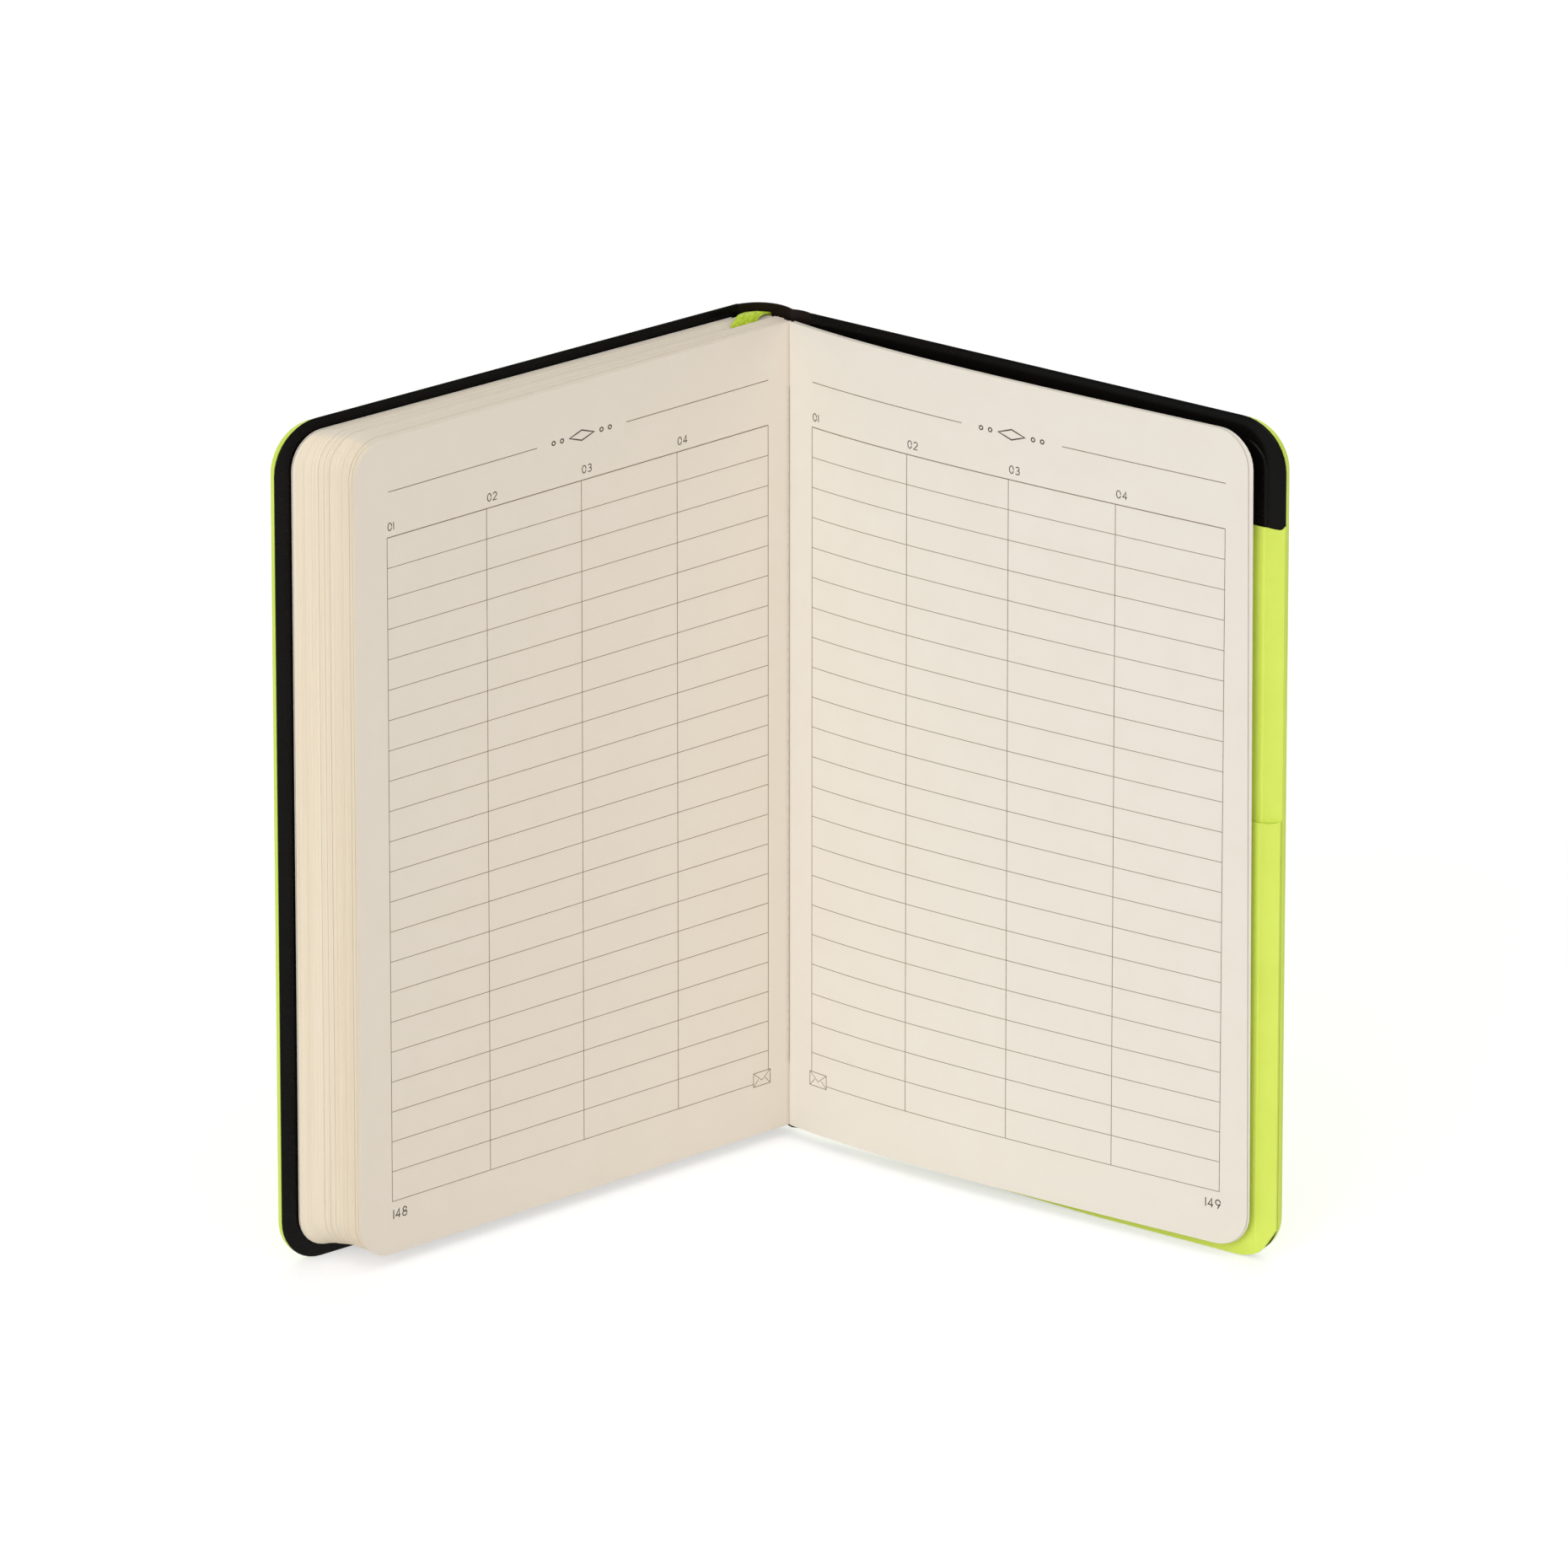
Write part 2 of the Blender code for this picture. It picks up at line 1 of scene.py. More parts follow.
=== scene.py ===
"""Looks of an open lined notebook: page edges, printed ruling, cover skins and linings, pocket and ribbon."""
import json
import math
import random

import bmesh
import bpy
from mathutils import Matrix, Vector


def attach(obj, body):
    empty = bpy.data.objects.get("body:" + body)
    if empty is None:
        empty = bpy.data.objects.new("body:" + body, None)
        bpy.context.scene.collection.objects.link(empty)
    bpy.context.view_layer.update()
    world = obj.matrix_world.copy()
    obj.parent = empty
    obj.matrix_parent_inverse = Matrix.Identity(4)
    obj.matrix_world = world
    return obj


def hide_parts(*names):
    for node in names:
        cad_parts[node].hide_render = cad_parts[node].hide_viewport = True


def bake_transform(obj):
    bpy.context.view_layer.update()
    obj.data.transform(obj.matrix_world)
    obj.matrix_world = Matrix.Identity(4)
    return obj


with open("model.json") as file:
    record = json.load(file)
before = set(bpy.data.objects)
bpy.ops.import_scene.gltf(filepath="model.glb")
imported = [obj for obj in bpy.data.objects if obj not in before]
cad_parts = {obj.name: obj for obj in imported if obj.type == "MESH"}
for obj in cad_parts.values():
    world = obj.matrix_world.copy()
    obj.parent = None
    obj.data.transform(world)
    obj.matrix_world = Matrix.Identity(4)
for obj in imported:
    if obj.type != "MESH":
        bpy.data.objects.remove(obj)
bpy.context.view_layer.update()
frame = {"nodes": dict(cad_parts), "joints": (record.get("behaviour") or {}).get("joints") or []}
MM = 0.001
MICRON = 0.000001

# From here to the radii round the folds, sizes and angles are those of the solids

# Directions of the standing book in plan
LEFT_ANGLE = math.radians(220.8)
BACK_ANGLE = LEFT_ANGLE + math.radians(104.3)
BLOCK_SPREAD = 0.035
FRONT_ANGLE = LEFT_ANGLE - math.atan(BLOCK_SPREAD)
BACK_AXIS = (-1.6 * MM, 1.2 * MM)

# Covers
COVER_WIDTH, COVER_HEIGHT, COVER_CORNER = 118.5 * MM, 180.6 * MM, 9.5 * MM
SKIN_THICKNESS, SKIN_LOW, SKIN_HIGH = 1.4 * MM, 0.1 * MM, COVER_HEIGHT - 0.5 * MM
LINING_THICKNESS, LINING_HEAD_CORNER = 0.45 * MM, 10.4 * MM
LAYER_GAP = 0.15 * MM
FRONT_LINING_FACE = LINING_THICKNESS + LAYER_GAP + SKIN_THICKNESS + LAYER_GAP
BACK_LINING_FACE = 0.6 * MM
FRONT_SETBACK, BACK_SETBACK = 0.4 * MM, 3.2 * MM
BOARD_INSET, BOARD_RECESS, RECESS_SLOPE = 4.4 * MM, 1.0 * MM, 0.05 * MM
RIDGE_INSET, RIDGE_WIDTH, RIDGE_HEIGHT = 4.2 * MM, 0.6 * MM, 0.2 * MM
TAIL_RISE, TAIL_RISE_LENGTH = 1.7 * MM, 75.0 * MM

# Spine: its centre and angles are in the block's plan frame
SPINE_CENTRE = (5.7 * MM, -2.1 * MM)
SPINE_START, SPINE_SWEEP = math.radians(-106.0), math.radians(-86.0)
SPINE_SKIN_SHORTER, SPINE_LINING_TAIL = 1.5 * MM, 1.5 * MM
CLOTH_THICKNESS, CARD_THICKNESS = 0.2 * MM, 0.6 * MM
SPINE_LINING_THICKNESS, SPINE_SKIN_THICKNESS = 0.4 * MM, 0.9 * MM

# Leaves and sections
PAGE_WIDTH, PAGE_HEIGHT, PAGE_CORNER = 114.3 * MM, 175.8 * MM, 7.5 * MM
PAGE_BOTTOM = 2.6 * MM
PAGE_TOP = PAGE_BOTTOM + PAGE_HEIGHT
LEAF_THICKNESS, LEAF_ALLOWANCE = 0.15 * MM, 0.3 * MM
SECTIONS, RIBBON_SECTION = 12, 6
BLOCK_AT_FOLD, FOLD_RADIUS, FOLD_LENGTH = 8.9 * MM, 6.9 * MM, 0.5 * MM

# Right-hand leaves: slopes in degrees at the root and far out, and how one passes into the other
LEAF_START, LEAF_END = -10.5, 2.3
LEAF_DECAY, LEAF_OFFSET, LEAF_ROOT = 30.0 * MM, 0.74 * MM, -1.0 * MM

# Pocket
POCKET_SIDE, POCKET_TAIL, POCKET_LIP = 14.0 * MM, 0.2 * MM, 0.85 * MM
POCKET_BACK_TOP, POCKET_TOP_RISE, POCKET_FRONT_TOP = 158.2 * MM, 1.0 * MM, 94.3 * MM
POCKET_SHEET, POCKET_PANEL = 0.2 * MM, 0.5 * MM

# Ribbon
RIBBON_WIDTH, RIBBON_THICKNESS = 7.0 * MM, 0.2 * MM
RIBBON_ANGLE = math.radians(-134.0)
RIBBON_GLUED, RIBBON_END, RIBBON_SLOT_AT = 30.0 * MM, 55.3 * MM, 7.1 * MM
RIBBON_RISE, RIBBON_HUMP, RIBBON_TURN = 0.3 * MM, 0.9 * MM, 1.3 * MM
RIBBON_FLAT_END, RIBBON_SWELL_SPAN = 0.3, 0.4

# Radii round the folds: middle of the ribbon, then inside and outside of the spine's lining and skin
RIBBON_RADIUS = FOLD_RADIUS + LAYER_GAP + CLOTH_THICKNESS + 0.5 * LAYER_GAP + 0.5 * RIBBON_THICKNESS
lining_radius = RIBBON_RADIUS + 0.5 * RIBBON_THICKNESS + LAYER_GAP
SPINE_LINING = (lining_radius, lining_radius + SPINE_LINING_THICKNESS)
skin_radius = SPINE_LINING[1] + LAYER_GAP + CARD_THICKNESS + LAYER_GAP
SPINE_SKIN = (skin_radius, skin_radius + SPINE_SKIN_THICKNESS)


# Plan frames

class Plan:
    """Upright frame: x along a sheet away from its hinge, y across it, z up."""

    def __init__(self, origin, angle):
        self.origin = origin
        self.cos, self.sin = math.cos(angle), math.sin(angle)

    def __call__(self, x, y, z=0.0):
        return Vector((
            self.origin[0] + self.cos * x - self.sin * y,
            self.origin[1] + self.sin * x + self.cos * y,
            z,
        ))

    def local(self, point):
        """Plan coordinates, in this frame, of a point in the object's frame."""
        x, y = point.x - self.origin[0], point.y - self.origin[1]
        return Vector((self.cos * x + self.sin * y, -self.sin * x + self.cos * y))


joint_at = {joint["name"]: joint["pos_m"] for joint in frame["joints"]}
hinge = joint_at["back_cover_hinge"]
offset = Plan((0.0, 0.0), LEFT_ANGLE)(*BACK_AXIS)
block = Plan((hinge[0] - offset.x, hinge[1] - offset.y), LEFT_ANGLE)
back = Plan(hinge, BACK_ANGLE)
front = Plan(joint_at["front_cover_hinge"], FRONT_ANGLE)


# Materials

def srgb(red, green, blue):
    """Display colour to scene-linear colour."""
    def one(value):
        value /= 255.0
        return value / 12.92 if value <= 0.04045 else ((value + 0.055) / 1.055) ** 2.4
    return one(red), one(green), one(blue), 1.0


class Look:
    """One procedural material on object coordinates, so that a texture's scale counts features per metre."""

    def __init__(self, name, roughness, specular):
        self.material = bpy.data.materials.new(name)
        self.material.use_nodes = True
        self.tree = self.material.node_tree
        self.shader = self.tree.nodes["Principled BSDF"]
        self.shader.inputs["Roughness"].default_value = roughness
        self.shader.inputs["Specular IOR Level"].default_value = specular
        self.place = self.add("ShaderNodeTexCoord").outputs["Object"]

    def add(self, kind, **settings):
        node = self.tree.nodes.new(kind)
        for key, value in settings.items():
            setattr(node, key, value)
        return node

    def link(self, start, end):
        self.tree.links.new(start, end)

    def turned(self, angle, scale):
        """Coordinates turned about Z and stretched along each axis."""
        turn = self.add("ShaderNodeMapping")
        turn.inputs["Rotation"].default_value = (0.0, 0.0, angle)
        self.link(self.place, turn.inputs["Vector"])
        stretch = self.add("ShaderNodeMapping")
        stretch.inputs["Scale"].default_value = scale
        self.link(turn.outputs["Vector"], stretch.inputs["Vector"])
        return stretch.outputs["Vector"]

    def noise(self, scale, detail=3.0, place=None, roughness=0.55):
        node = self.add("ShaderNodeTexNoise")
        node.inputs["Scale"].default_value = scale
        node.inputs["Detail"].default_value = detail
        node.inputs["Roughness"].default_value = roughness
        self.link(place or self.place, node.inputs["Vector"])
        return node.outputs["Fac"]

    def cells(self, scale):
        node = self.add("ShaderNodeTexVoronoi", feature="DISTANCE_TO_EDGE")
        node.inputs["Scale"].default_value = scale
        self.link(self.place, node.inputs["Vector"])
        return node.outputs["Distance"]

    def ramp(self, value, *stops):
        """Colours by a texture value: (position, colour)."""
        node = self.add("ShaderNodeValToRGB")
        elements = node.color_ramp.elements
        while len(elements) < len(stops):
            elements.new(0.5)
        for element, (position, colour) in zip(elements, stops):
            element.position = position
            element.color = colour
        self.link(value, node.inputs["Fac"])
        return node.outputs["Color"]

    def tint(self, base, value, share, colour):
        """Mixes a colour in by a share of a texture value."""
        scaled = self.add("ShaderNodeMath", operation="MULTIPLY")
        scaled.inputs[1].default_value = share
        self.link(value, scaled.inputs[0])
        mix = self.add("ShaderNodeMix", data_type="RGBA")
        self.link(scaled.outputs[0], mix.inputs["Factor"])
        self.link(base, mix.inputs["A"])
        mix.inputs["B"].default_value = colour
        return mix.outputs["Result"]

    def colour(self, socket):
        self.link(socket, self.shader.inputs["Base Color"])

    def rough(self, value, low, high):
        node = self.add("ShaderNodeMapRange")
        node.inputs["To Min"].default_value = low
        node.inputs["To Max"].default_value = high
        self.link(value, node.inputs["Value"])
        self.link(node.outputs["Result"], self.shader.inputs["Roughness"])

    def bump(self, *layers):
        """Stacks height textures: (value, strength, depth in metres)."""
        normal = None
        for value, strength, depth in layers:
            node = self.add("ShaderNodeBump")
            node.inputs["Strength"].default_value = strength
            node.inputs["Distance"].default_value = depth
            self.link(value, node.inputs["Height"])
            if normal:
                self.link(normal, node.inputs["Normal"])
            normal = node.outputs["Normal"]
        self.link(normal, self.shader.inputs["Normal"])


def leather(name, dark, light, roughness, specular, wrinkle=0.15):
    """Smooth coated cover material with a fine pebble grain; creased where it bends."""
    look = Look(name, roughness, specular)
    mottle = look.noise(55.0, detail=4.0)
    fine = look.noise(900.0, detail=2.0)
    grain = look.cells(1500.0)
    base = look.ramp(mottle, (0.3, dark), (0.7, light))
    look.colour(look.tint(base, fine, 0.12, dark))
    look.rough(fine, roughness - 0.08, roughness + 0.1)
    look.bump((grain, 0.22, 60.0 * MICRON), (look.noise(380.0), wrinkle, 100.0 * MICRON))
    return look.material


def paper(name, base, shade, fleck):
    """Uncoated paper: cloudy formation, short fibres and a faint tooth."""
    look = Look(name, roughness=0.9, specular=0.2)
    cloud = look.noise(130.0, detail=4.0)
    fibre = look.noise(1.0, place=look.turned(0.4, (2600.0, 900.0, 700.0)))
    colour = look.ramp(cloud, (0.25, shade), (0.75, base))
    look.colour(look.tint(colour, fibre, 0.10, fleck))
    look.bump((fibre, 0.10, 20.0 * MICRON), (look.noise(1500.0, detail=2.0), 0.08, 20.0 * MICRON))
    return look.material


# Depths below the head of the pages between which their edges turn greyer and darker: painted shade on the
# top, which gets less light
PAINTED_HEAD_SHADE_START, PAINTED_HEAD_SHADE_FULL = 1.2 * MM, 0.5 * MM


def page_edge():
    """Stacked leaf edges: streaks along the leaves, warm at the fore-edge and tail, with painted shade that
    makes the head greyer and darker.
    """
    look = Look("page_edges", roughness=0.92, specular=0.15)
    along = look.turned(-LEFT_ANGLE, (30.0, 2600.0, 9.0))
    streak = look.noise(1.0, detail=4.0, place=along, roughness=0.7)
    wide = look.noise(1.0, detail=2.0, place=look.turned(-LEFT_ANGLE, (18.0, 420.0, 6.0)))
    base = look.ramp(
        streak, (0.2, srgb(235, 221, 197)), (0.5, srgb(246, 234, 213)), (0.85, srgb(250, 242, 226))
    )
    base = look.tint(base, wide, 0.14, srgb(240, 219, 184))
    height = look.add("ShaderNodeSeparateXYZ")
    look.link(look.place, height.inputs[0])
    head_shade_mask = look.add("ShaderNodeMapRange", interpolation_type="SMOOTHSTEP")
    head_shade_mask.inputs["From Min"].default_value = PAGE_TOP - PAINTED_HEAD_SHADE_START
    head_shade_mask.inputs["From Max"].default_value = PAGE_TOP - PAINTED_HEAD_SHADE_FULL
    look.link(height.outputs["Z"], head_shade_mask.inputs["Value"])
    # Painted shade: the head's faces are mixed towards a greyer, darker colour
    look.colour(look.tint(base, head_shade_mask.outputs["Result"], 0.7, srgb(232, 224, 211)))
    look.bump((streak, 0.18, 40.0 * MICRON))
    return look.material


def woven(name, base, shade, angle):
    """Close weave seen as crossing fine ribs."""
    look = Look(name, roughness=0.62, specular=0.4)
    across = look.noise(1.0, detail=1.0, place=look.turned(angle, (5200.0, 900.0, 900.0)))
    along = look.noise(1.0, detail=1.0, place=look.turned(angle, (900.0, 5200.0, 5200.0)))
    colour = look.ramp(across, (0.3, shade), (0.65, base))
    look.colour(look.tint(colour, along, 0.25, shade))
    look.bump((across, 0.3, 50.0 * MICRON), (along, 0.25, 50.0 * MICRON))
    return look.material


def ink(name, dark, light):
    """Printed line that takes unevenly on the paper."""
    look = Look(name, roughness=0.85, specular=0.2)
    look.colour(look.ramp(look.noise(1800.0), (0.3, dark), (0.75, light)))
    return look.material


def board():
    """Grey-brown pressed board with dark and pale fibres."""
    look = Look("pressed_board", roughness=0.95, specular=0.15)
    fibre = look.noise(420.0, detail=5.0)
    colour = look.ramp(fibre, (0.3, srgb(150, 134, 110)), (0.7, srgb(188, 172, 148)))
    look.colour(look.tint(colour, look.noise(2400.0, detail=2.0), 0.2, srgb(110, 96, 80)))
    look.bump((look.noise(1300.0), 0.3, 80.0 * MICRON))
    return look.material


LIME_SKIN = leather("lime_cover", srgb(212, 235, 88), srgb(219, 241, 98), 0.46, 0.45)
BLACK_LINING = leather("black_lining", srgb(7, 6, 5), srgb(13, 11, 10), 0.24, 0.10)
BLACK_CREASE = leather("black_crease", srgb(20, 12, 11), srgb(34, 23, 20), 0.36, 0.12, wrinkle=0.6)
LIME_PAPER = paper("lime_pocket_paper", srgb(229, 246, 110), srgb(223, 240, 102), srgb(212, 230, 92))
PAGE_PAPER = paper("cream_page", srgb(240, 234, 223), srgb(238, 231, 219), srgb(231, 222, 207))
# Painted warm shade: the left page and the gutter fold take a warmer, slightly darker copy of the page paper
WARM_SHADED_LEFT_PAPER = paper("cream_left_page_painted_warm_shade", srgb(241, 231, 217), srgb(239, 229, 214), srgb(232, 219, 201))
PAGE_EDGE = page_edge()
RIBBON = woven("lime_ribbon", srgb(206, 228, 66), srgb(166, 192, 34), LEFT_ANGLE)
CLOTH = woven("backing_cloth", srgb(226, 221, 207), srgb(196, 190, 176), 0.0)
THREAD = woven("sewing_thread", srgb(240, 235, 222), srgb(214, 207, 190), 0.7)
BOARD = board()
RULE_INK = ink("rule_ink", srgb(126, 109, 90), srgb(157, 140, 119))
TYPE_INK = ink("type_ink", srgb(74, 66, 58), srgb(98, 88, 78))


# Mesh helpers

ARC_STEPS = 10


def outline(u0, u1, z0, z1, tail_radius, head_radius):
    """Sheet outline: square at the hinge side, round corners at the fore-edge."""
    points = [(u0, z0)]
    tail_corner = (z0 + tail_radius, tail_radius, -0.5 * math.pi)
    head_corner = (z1 - head_radius, head_radius, 0.0)
    for centre, radius, start in (tail_corner, head_corner):
        for step in range(ARC_STEPS + 1):
            angle = start + 0.5 * math.pi * step / ARC_STEPS
            points.append((u1 - radius + radius * math.cos(angle), centre + radius * math.sin(angle)))
    points.append((u0, z1))
    return points


def tail_rise(u):
    """How far a cover's tail edge stands off the table; the soft cover sags away from its hinge."""
    return TAIL_RISE * max(1.0 - u / TAIL_RISE_LENGTH, 0.0)


def sagged(points):
    """The same outline with its tail edge rising towards the hinge."""
    u0, z0 = points[0]
    return [(u0, z0 + tail_rise(u0)), (TAIL_RISE_LENGTH, z0)] + points[1:]


def join_rings(mesh, rings, endless=False):
    """Skins a row of rings, each the same number of points; endless joins the last ring to the first."""
    made = [[mesh.verts.new(point) for point in ring] for ring in rings]
    following = made[1:] + (made[:1] if endless else [])
    count = len(made[0])
    for first, second in zip(made, following):
        for side in range(count):
            after = (side + 1) % count
            mesh.faces.new((first[side], first[after], second[after], second[side]))
    return made


def loft(mesh, rings):
    """Skins a row of rings and caps both ends."""
    made = join_rings(mesh, rings)
    mesh.faces.new(made[0])
    mesh.faces.new(list(reversed(made[-1])))


def lofted(rings):
    """New mesh skinned over a row of rings."""
    mesh = bmesh.new()
    loft(mesh, rings)
    return mesh


def piece(name, mesh, material, body=None, node=None, slot=None, sharp=32.0):
    """Makes a mesh into a piece, smooth up to the sharp angle in degrees, on its body and for its node."""
    bmesh.ops.recalc_face_normals(mesh, faces=mesh.faces[:])
    data = bpy.data.meshes.new(name)
    mesh.to_mesh(data)
    mesh.free()
    data.shade_smooth()
    data.set_sharp_from_angle(angle=math.radians(sharp))
    data.materials.append(material)
    made = bpy.data.objects.new(name, data)
    bpy.context.scene.collection.objects.link(made)
    if body:
        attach(made, body)
    if node:
        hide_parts(node)
    if slot or node:
        slot or node
    return made


def bent_sheet(points, cuts, face_a, face_b):
    """Solid between two faces: an outline cut into strips, thickened, each face laid along its curve."""
    mesh = bmesh.new()
    mesh.faces.new([mesh.verts.new((u, 0.0, z)) for u, z in points])
    for cut in cuts:
        everything = mesh.verts[:] + mesh.edges[:] + mesh.faces[:]
        bmesh.ops.bisect_plane(
            mesh, geom=everything, dist=1e-7, plane_co=(cut, 0.0, 0.0), plane_no=(1.0, 0.0, 0.0)
        )
    thick = bmesh.ops.extrude_face_region(mesh, geom=mesh.faces[:])
    first = {item for item in thick["geom"] if isinstance(item, bmesh.types.BMVert)}
    for vert in mesh.verts:
        vert.co = (face_a if vert in first else face_b)(vert.co.x, vert.co.z)
    return mesh


def strip_ring(plan_in, plan_out, z0, z1, ease):
    """Upright strip section between an inner and an outer plan point, with eased head and tail edges."""
    def at(share, z):
        return Vector((
            plan_in[0] + (plan_out[0] - plan_in[0]) * share,
            plan_in[1] + (plan_out[1] - plan_in[1]) * share,
            z,
        ))
    rows = [(0.0, z0 + ease), (0.25, z0), (0.75, z0), (1.0, z0 + ease)]
    rows += [(1.0, z1 - ease), (0.75, z1), (0.25, z1), (0.0, z1 - ease)]
    return [at(share, z) for share, z in rows]


# Cover skins and linings

# Rounded edges, in millimetres: inset from the outline, then depth from the outer or inner face
SKIN_EDGE = ((0.55, 0.0), (0.26, 0.08), (0.08, 0.26), (0.0, 0.55))
LINING_EDGE = ((0.0, 0.30), (0.05, 0.16), (0.15, 0.06), (0.32, 0.0))
# Soft slope of the raised panel, in shares of its width and height
RIDGE_SLOPE = ((0.0, 0.0), (0.25, 0.1), (0.5, 0.5), (0.75, 0.9), (1.0, 1.0))


class Cover:
    """One cover: its layers across its hinge frame, where inward is the sign of the way to the pages."""

    def __init__(self, side, place, setback, lining_face, inward):
        self.side, self.place, self.setback, self.inward = side, place, setback, inward
        self.lining_face = lining_face
        self.lining_back = lining_face - inward * LINING_THICKNESS
        self.skin_in = self.lining_back - inward * LAYER_GAP
        self.skin_out = self.skin_in - inward * SKIN_THICKNESS

    def ring(self, inset, y, z0, z1, head_corner, hinge_inset):
        """Cover outline at depth y, drawn in on its three free sides and by hinge_inset at the hinge."""
        points = outline(
            self.setback + hinge_inset, COVER_WIDTH - inset, z0 + inset, z1 - inset,
            COVER_CORNER - inset, head_corner - inset
        )
        return [self.place(u, y, z) for u, z in sagged(points)]

    def skin_ring(self, inset, y, hinge_inset=0.0):
        return self.ring(inset, y, SKIN_LOW, SKIN_HIGH, COVER_CORNER, hinge_inset)

    def lining_ring(self, inset, y, hinge_inset=0.0):
        return self.ring(inset, y, 0.0, COVER_HEIGHT, LINING_HEAD_CORNER, hinge_inset)

    def dress(self, layer, rings, material):
        """Makes the rings of a layer into its piece."""
        node = f"{self.side}_cover_{layer}"
        piece(f"{node}_dressed", lofted(rings), material, f"{self.side}_cover", node)

    def skin(self):
        """Skin with rounded edges and a recess for the board."""
        rings = [
            self.skin_ring(inset * MM, self.skin_out + self.inward * depth * MM) for inset, depth in SKIN_EDGE
        ]
        rings.append(self.skin_ring(0.0, self.skin_in))
        rings.append(self.skin_ring(BOARD_INSET, self.skin_in, BOARD_INSET))
        foot = BOARD_INSET + RECESS_SLOPE
        rings.append(self.skin_ring(foot, self.skin_in - self.inward * BOARD_RECESS, foot))
        self.dress("skin", rings, LIME_SKIN)

    def lining(self):
        """Lining with eased edges and a soft raised panel over the board."""
        rings = [self.lining_ring(0.0, self.lining_back)]
        for inset, depth in LINING_EDGE:
            rings.append(self.lining_ring(inset * MM, self.lining_face - self.inward * depth * MM))
        for share, rise in RIDGE_SLOPE:
            inset = RIDGE_INSET + RIDGE_WIDTH * share
            rings.append(self.lining_ring(inset, self.lining_face + self.inward * RIDGE_HEIGHT * rise, inset))
        self.dress("lining", rings, BLACK_LINING)

    def hinge_edge(self, inner, outer):
        """Plan points, in the block's frame, of a layer's edge at the hinge."""
        return [block.local(self.place(self.setback, y)) for y in (inner, outer)]


front_cover = Cover("front", front, FRONT_SETBACK, FRONT_LINING_FACE, 1.0)
back_cover = Cover("back", back, BACK_SETBACK, BACK_LINING_FACE, -1.0)
for cover in (front_cover, back_cover):
    cover.skin()
    cover.lining()


# Rounded spine and the creases that join it to the covers

SPINE_STEPS, CREASE_STEPS = 36, 20
SPINE_EASE, CREASE_EASE = 0.12 * MM, 0.1 * MM
BACK_SKIN_BULGE, BACK_LINING_BULGE, FRONT_BULGE = 0.15 * MM, 0.45 * MM, 0.0


def spine_edge(angle, radii):
    """Inner and outer plan points of a spine layer at an angle."""
    return [(SPINE_CENTRE[0] + r * math.cos(angle), SPINE_CENTRE[1] + r * math.sin(angle)) for r in radii]


def spine_strip(node, radii, z0, z1, material):
    """Arc-shaped strip of the spine."""
    rings = []
    for step in range(SPINE_STEPS + 1):
        edge = spine_edge(SPINE_START + SPINE_SWEEP * step / SPINE_STEPS, radii)
        rings.append(strip_ring(block(*edge[0]), block(*edge[1]), z0, z1, SPINE_EASE))
    piece(f"{node}_dressed", lofted(rings), material, "block", node)


def crease(name, spine, cover_edge, bulge, tails, heads, material, body, slot):
    """Strip from a spine edge to a cover edge; each is an inner and an outer point in plan."""
    near = [Vector(point) for point in spine]
    rings = []
    for step in range(CREASE_STEPS + 1):
        t = step / CREASE_STEPS
        push = Vector((-bulge * 4.0 * t * (1.0 - t), 0.0))
        inner, outer = [start.lerp(end, t) + push for start, end in zip(near, cover_edge)]
        tail = tails[0] + (tails[1] - tails[0]) * t * t
        head = heads[0] + (heads[1] - heads[0]) * t
        rings.append(strip_ring(block(*inner), block(*outer), tail, head, CREASE_EASE))
    made = piece(name, lofted(rings), material, slot=slot)
    start = rings[0][0].lerp(rings[0][3], 0.5)
    end = rings[-1][0].lerp(rings[-1][3], 0.5)
    start.z = end.z = 0.0
    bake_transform(made)


spine_low, spine_high = SPINE_SKIN_SHORTER, COVER_HEIGHT - SPINE_SKIN_SHORTER
spine_strip("spine_skin", SPINE_SKIN, spine_low, spine_high, LIME_SKIN)
spine_strip("spine_lining", SPINE_LINING, SPINE_LINING_TAIL, COVER_HEIGHT, BLACK_CREASE)

skin_ends = (spine_low, SKIN_LOW + TAIL_RISE), (spine_high, SKIN_HIGH)
lining_ends = (SPINE_LINING_TAIL, TAIL_RISE), (COVER_HEIGHT, COVER_HEIGHT)
for cover, angle, skin_bulge, lining_bulge in (
    (back_cover, SPINE_START + SPINE_SWEEP, BACK_SKIN_BULGE, BACK_LINING_BULGE),
    (front_cover, SPINE_START, FRONT_BULGE, FRONT_BULGE),
):
    body = f"{cover.side}_cover"
    crease(
        f"{cover.side}_crease_skin", spine_edge(angle, SPINE_SKIN),
        cover.hinge_edge(cover.skin_in, cover.skin_out),
        skin_bulge, *skin_ends, LIME_SKIN, body, "spine_skin"
    )
    crease(
        f"{cover.side}_crease_lining", spine_edge(angle, SPINE_LINING),
        cover.hinge_edge(cover.lining_face, cover.lining_back),
        lining_bulge, *lining_ends, BLACK_CREASE, body, "spine_lining"
    )


# Text block: sections with separate leaf edges

# Half the gap between two sections, and half the ribbon's, which stays open so far and then closes
HALF_GAP, HALF_SLOT = 0.04 * MM, 0.24 * MM
SLOT_OPEN, SLOT_CLOSING = 14.0 * MM, 20.0 * MM
# First section: how far it reaches towards the left leaf, and fans off the next section
FIRST_REACH, FIRST_FAN = 0.10 * MM, 0.10 * MM
# Leaf edges of a section: bands at these shares of a leaf, with grooves between, unevenly trimmed
LEAVES = 7
BAND_START, BAND_END = 0.24, 0.76
GROOVE, EDGE_EASE = 0.06 * MM, 0.03 * MM
TRIM, MOST_TRIM = (0.02 * MM, 0.20 * MM), 0.3 * MM
DRIFT, DRIFT_KEPT = (-0.05 * MM, 0.05 * MM), 0.6
TRIM_SEED = 12
# How far a section is drawn together at its fold, as a share
FOLD_PINCH = 0.6


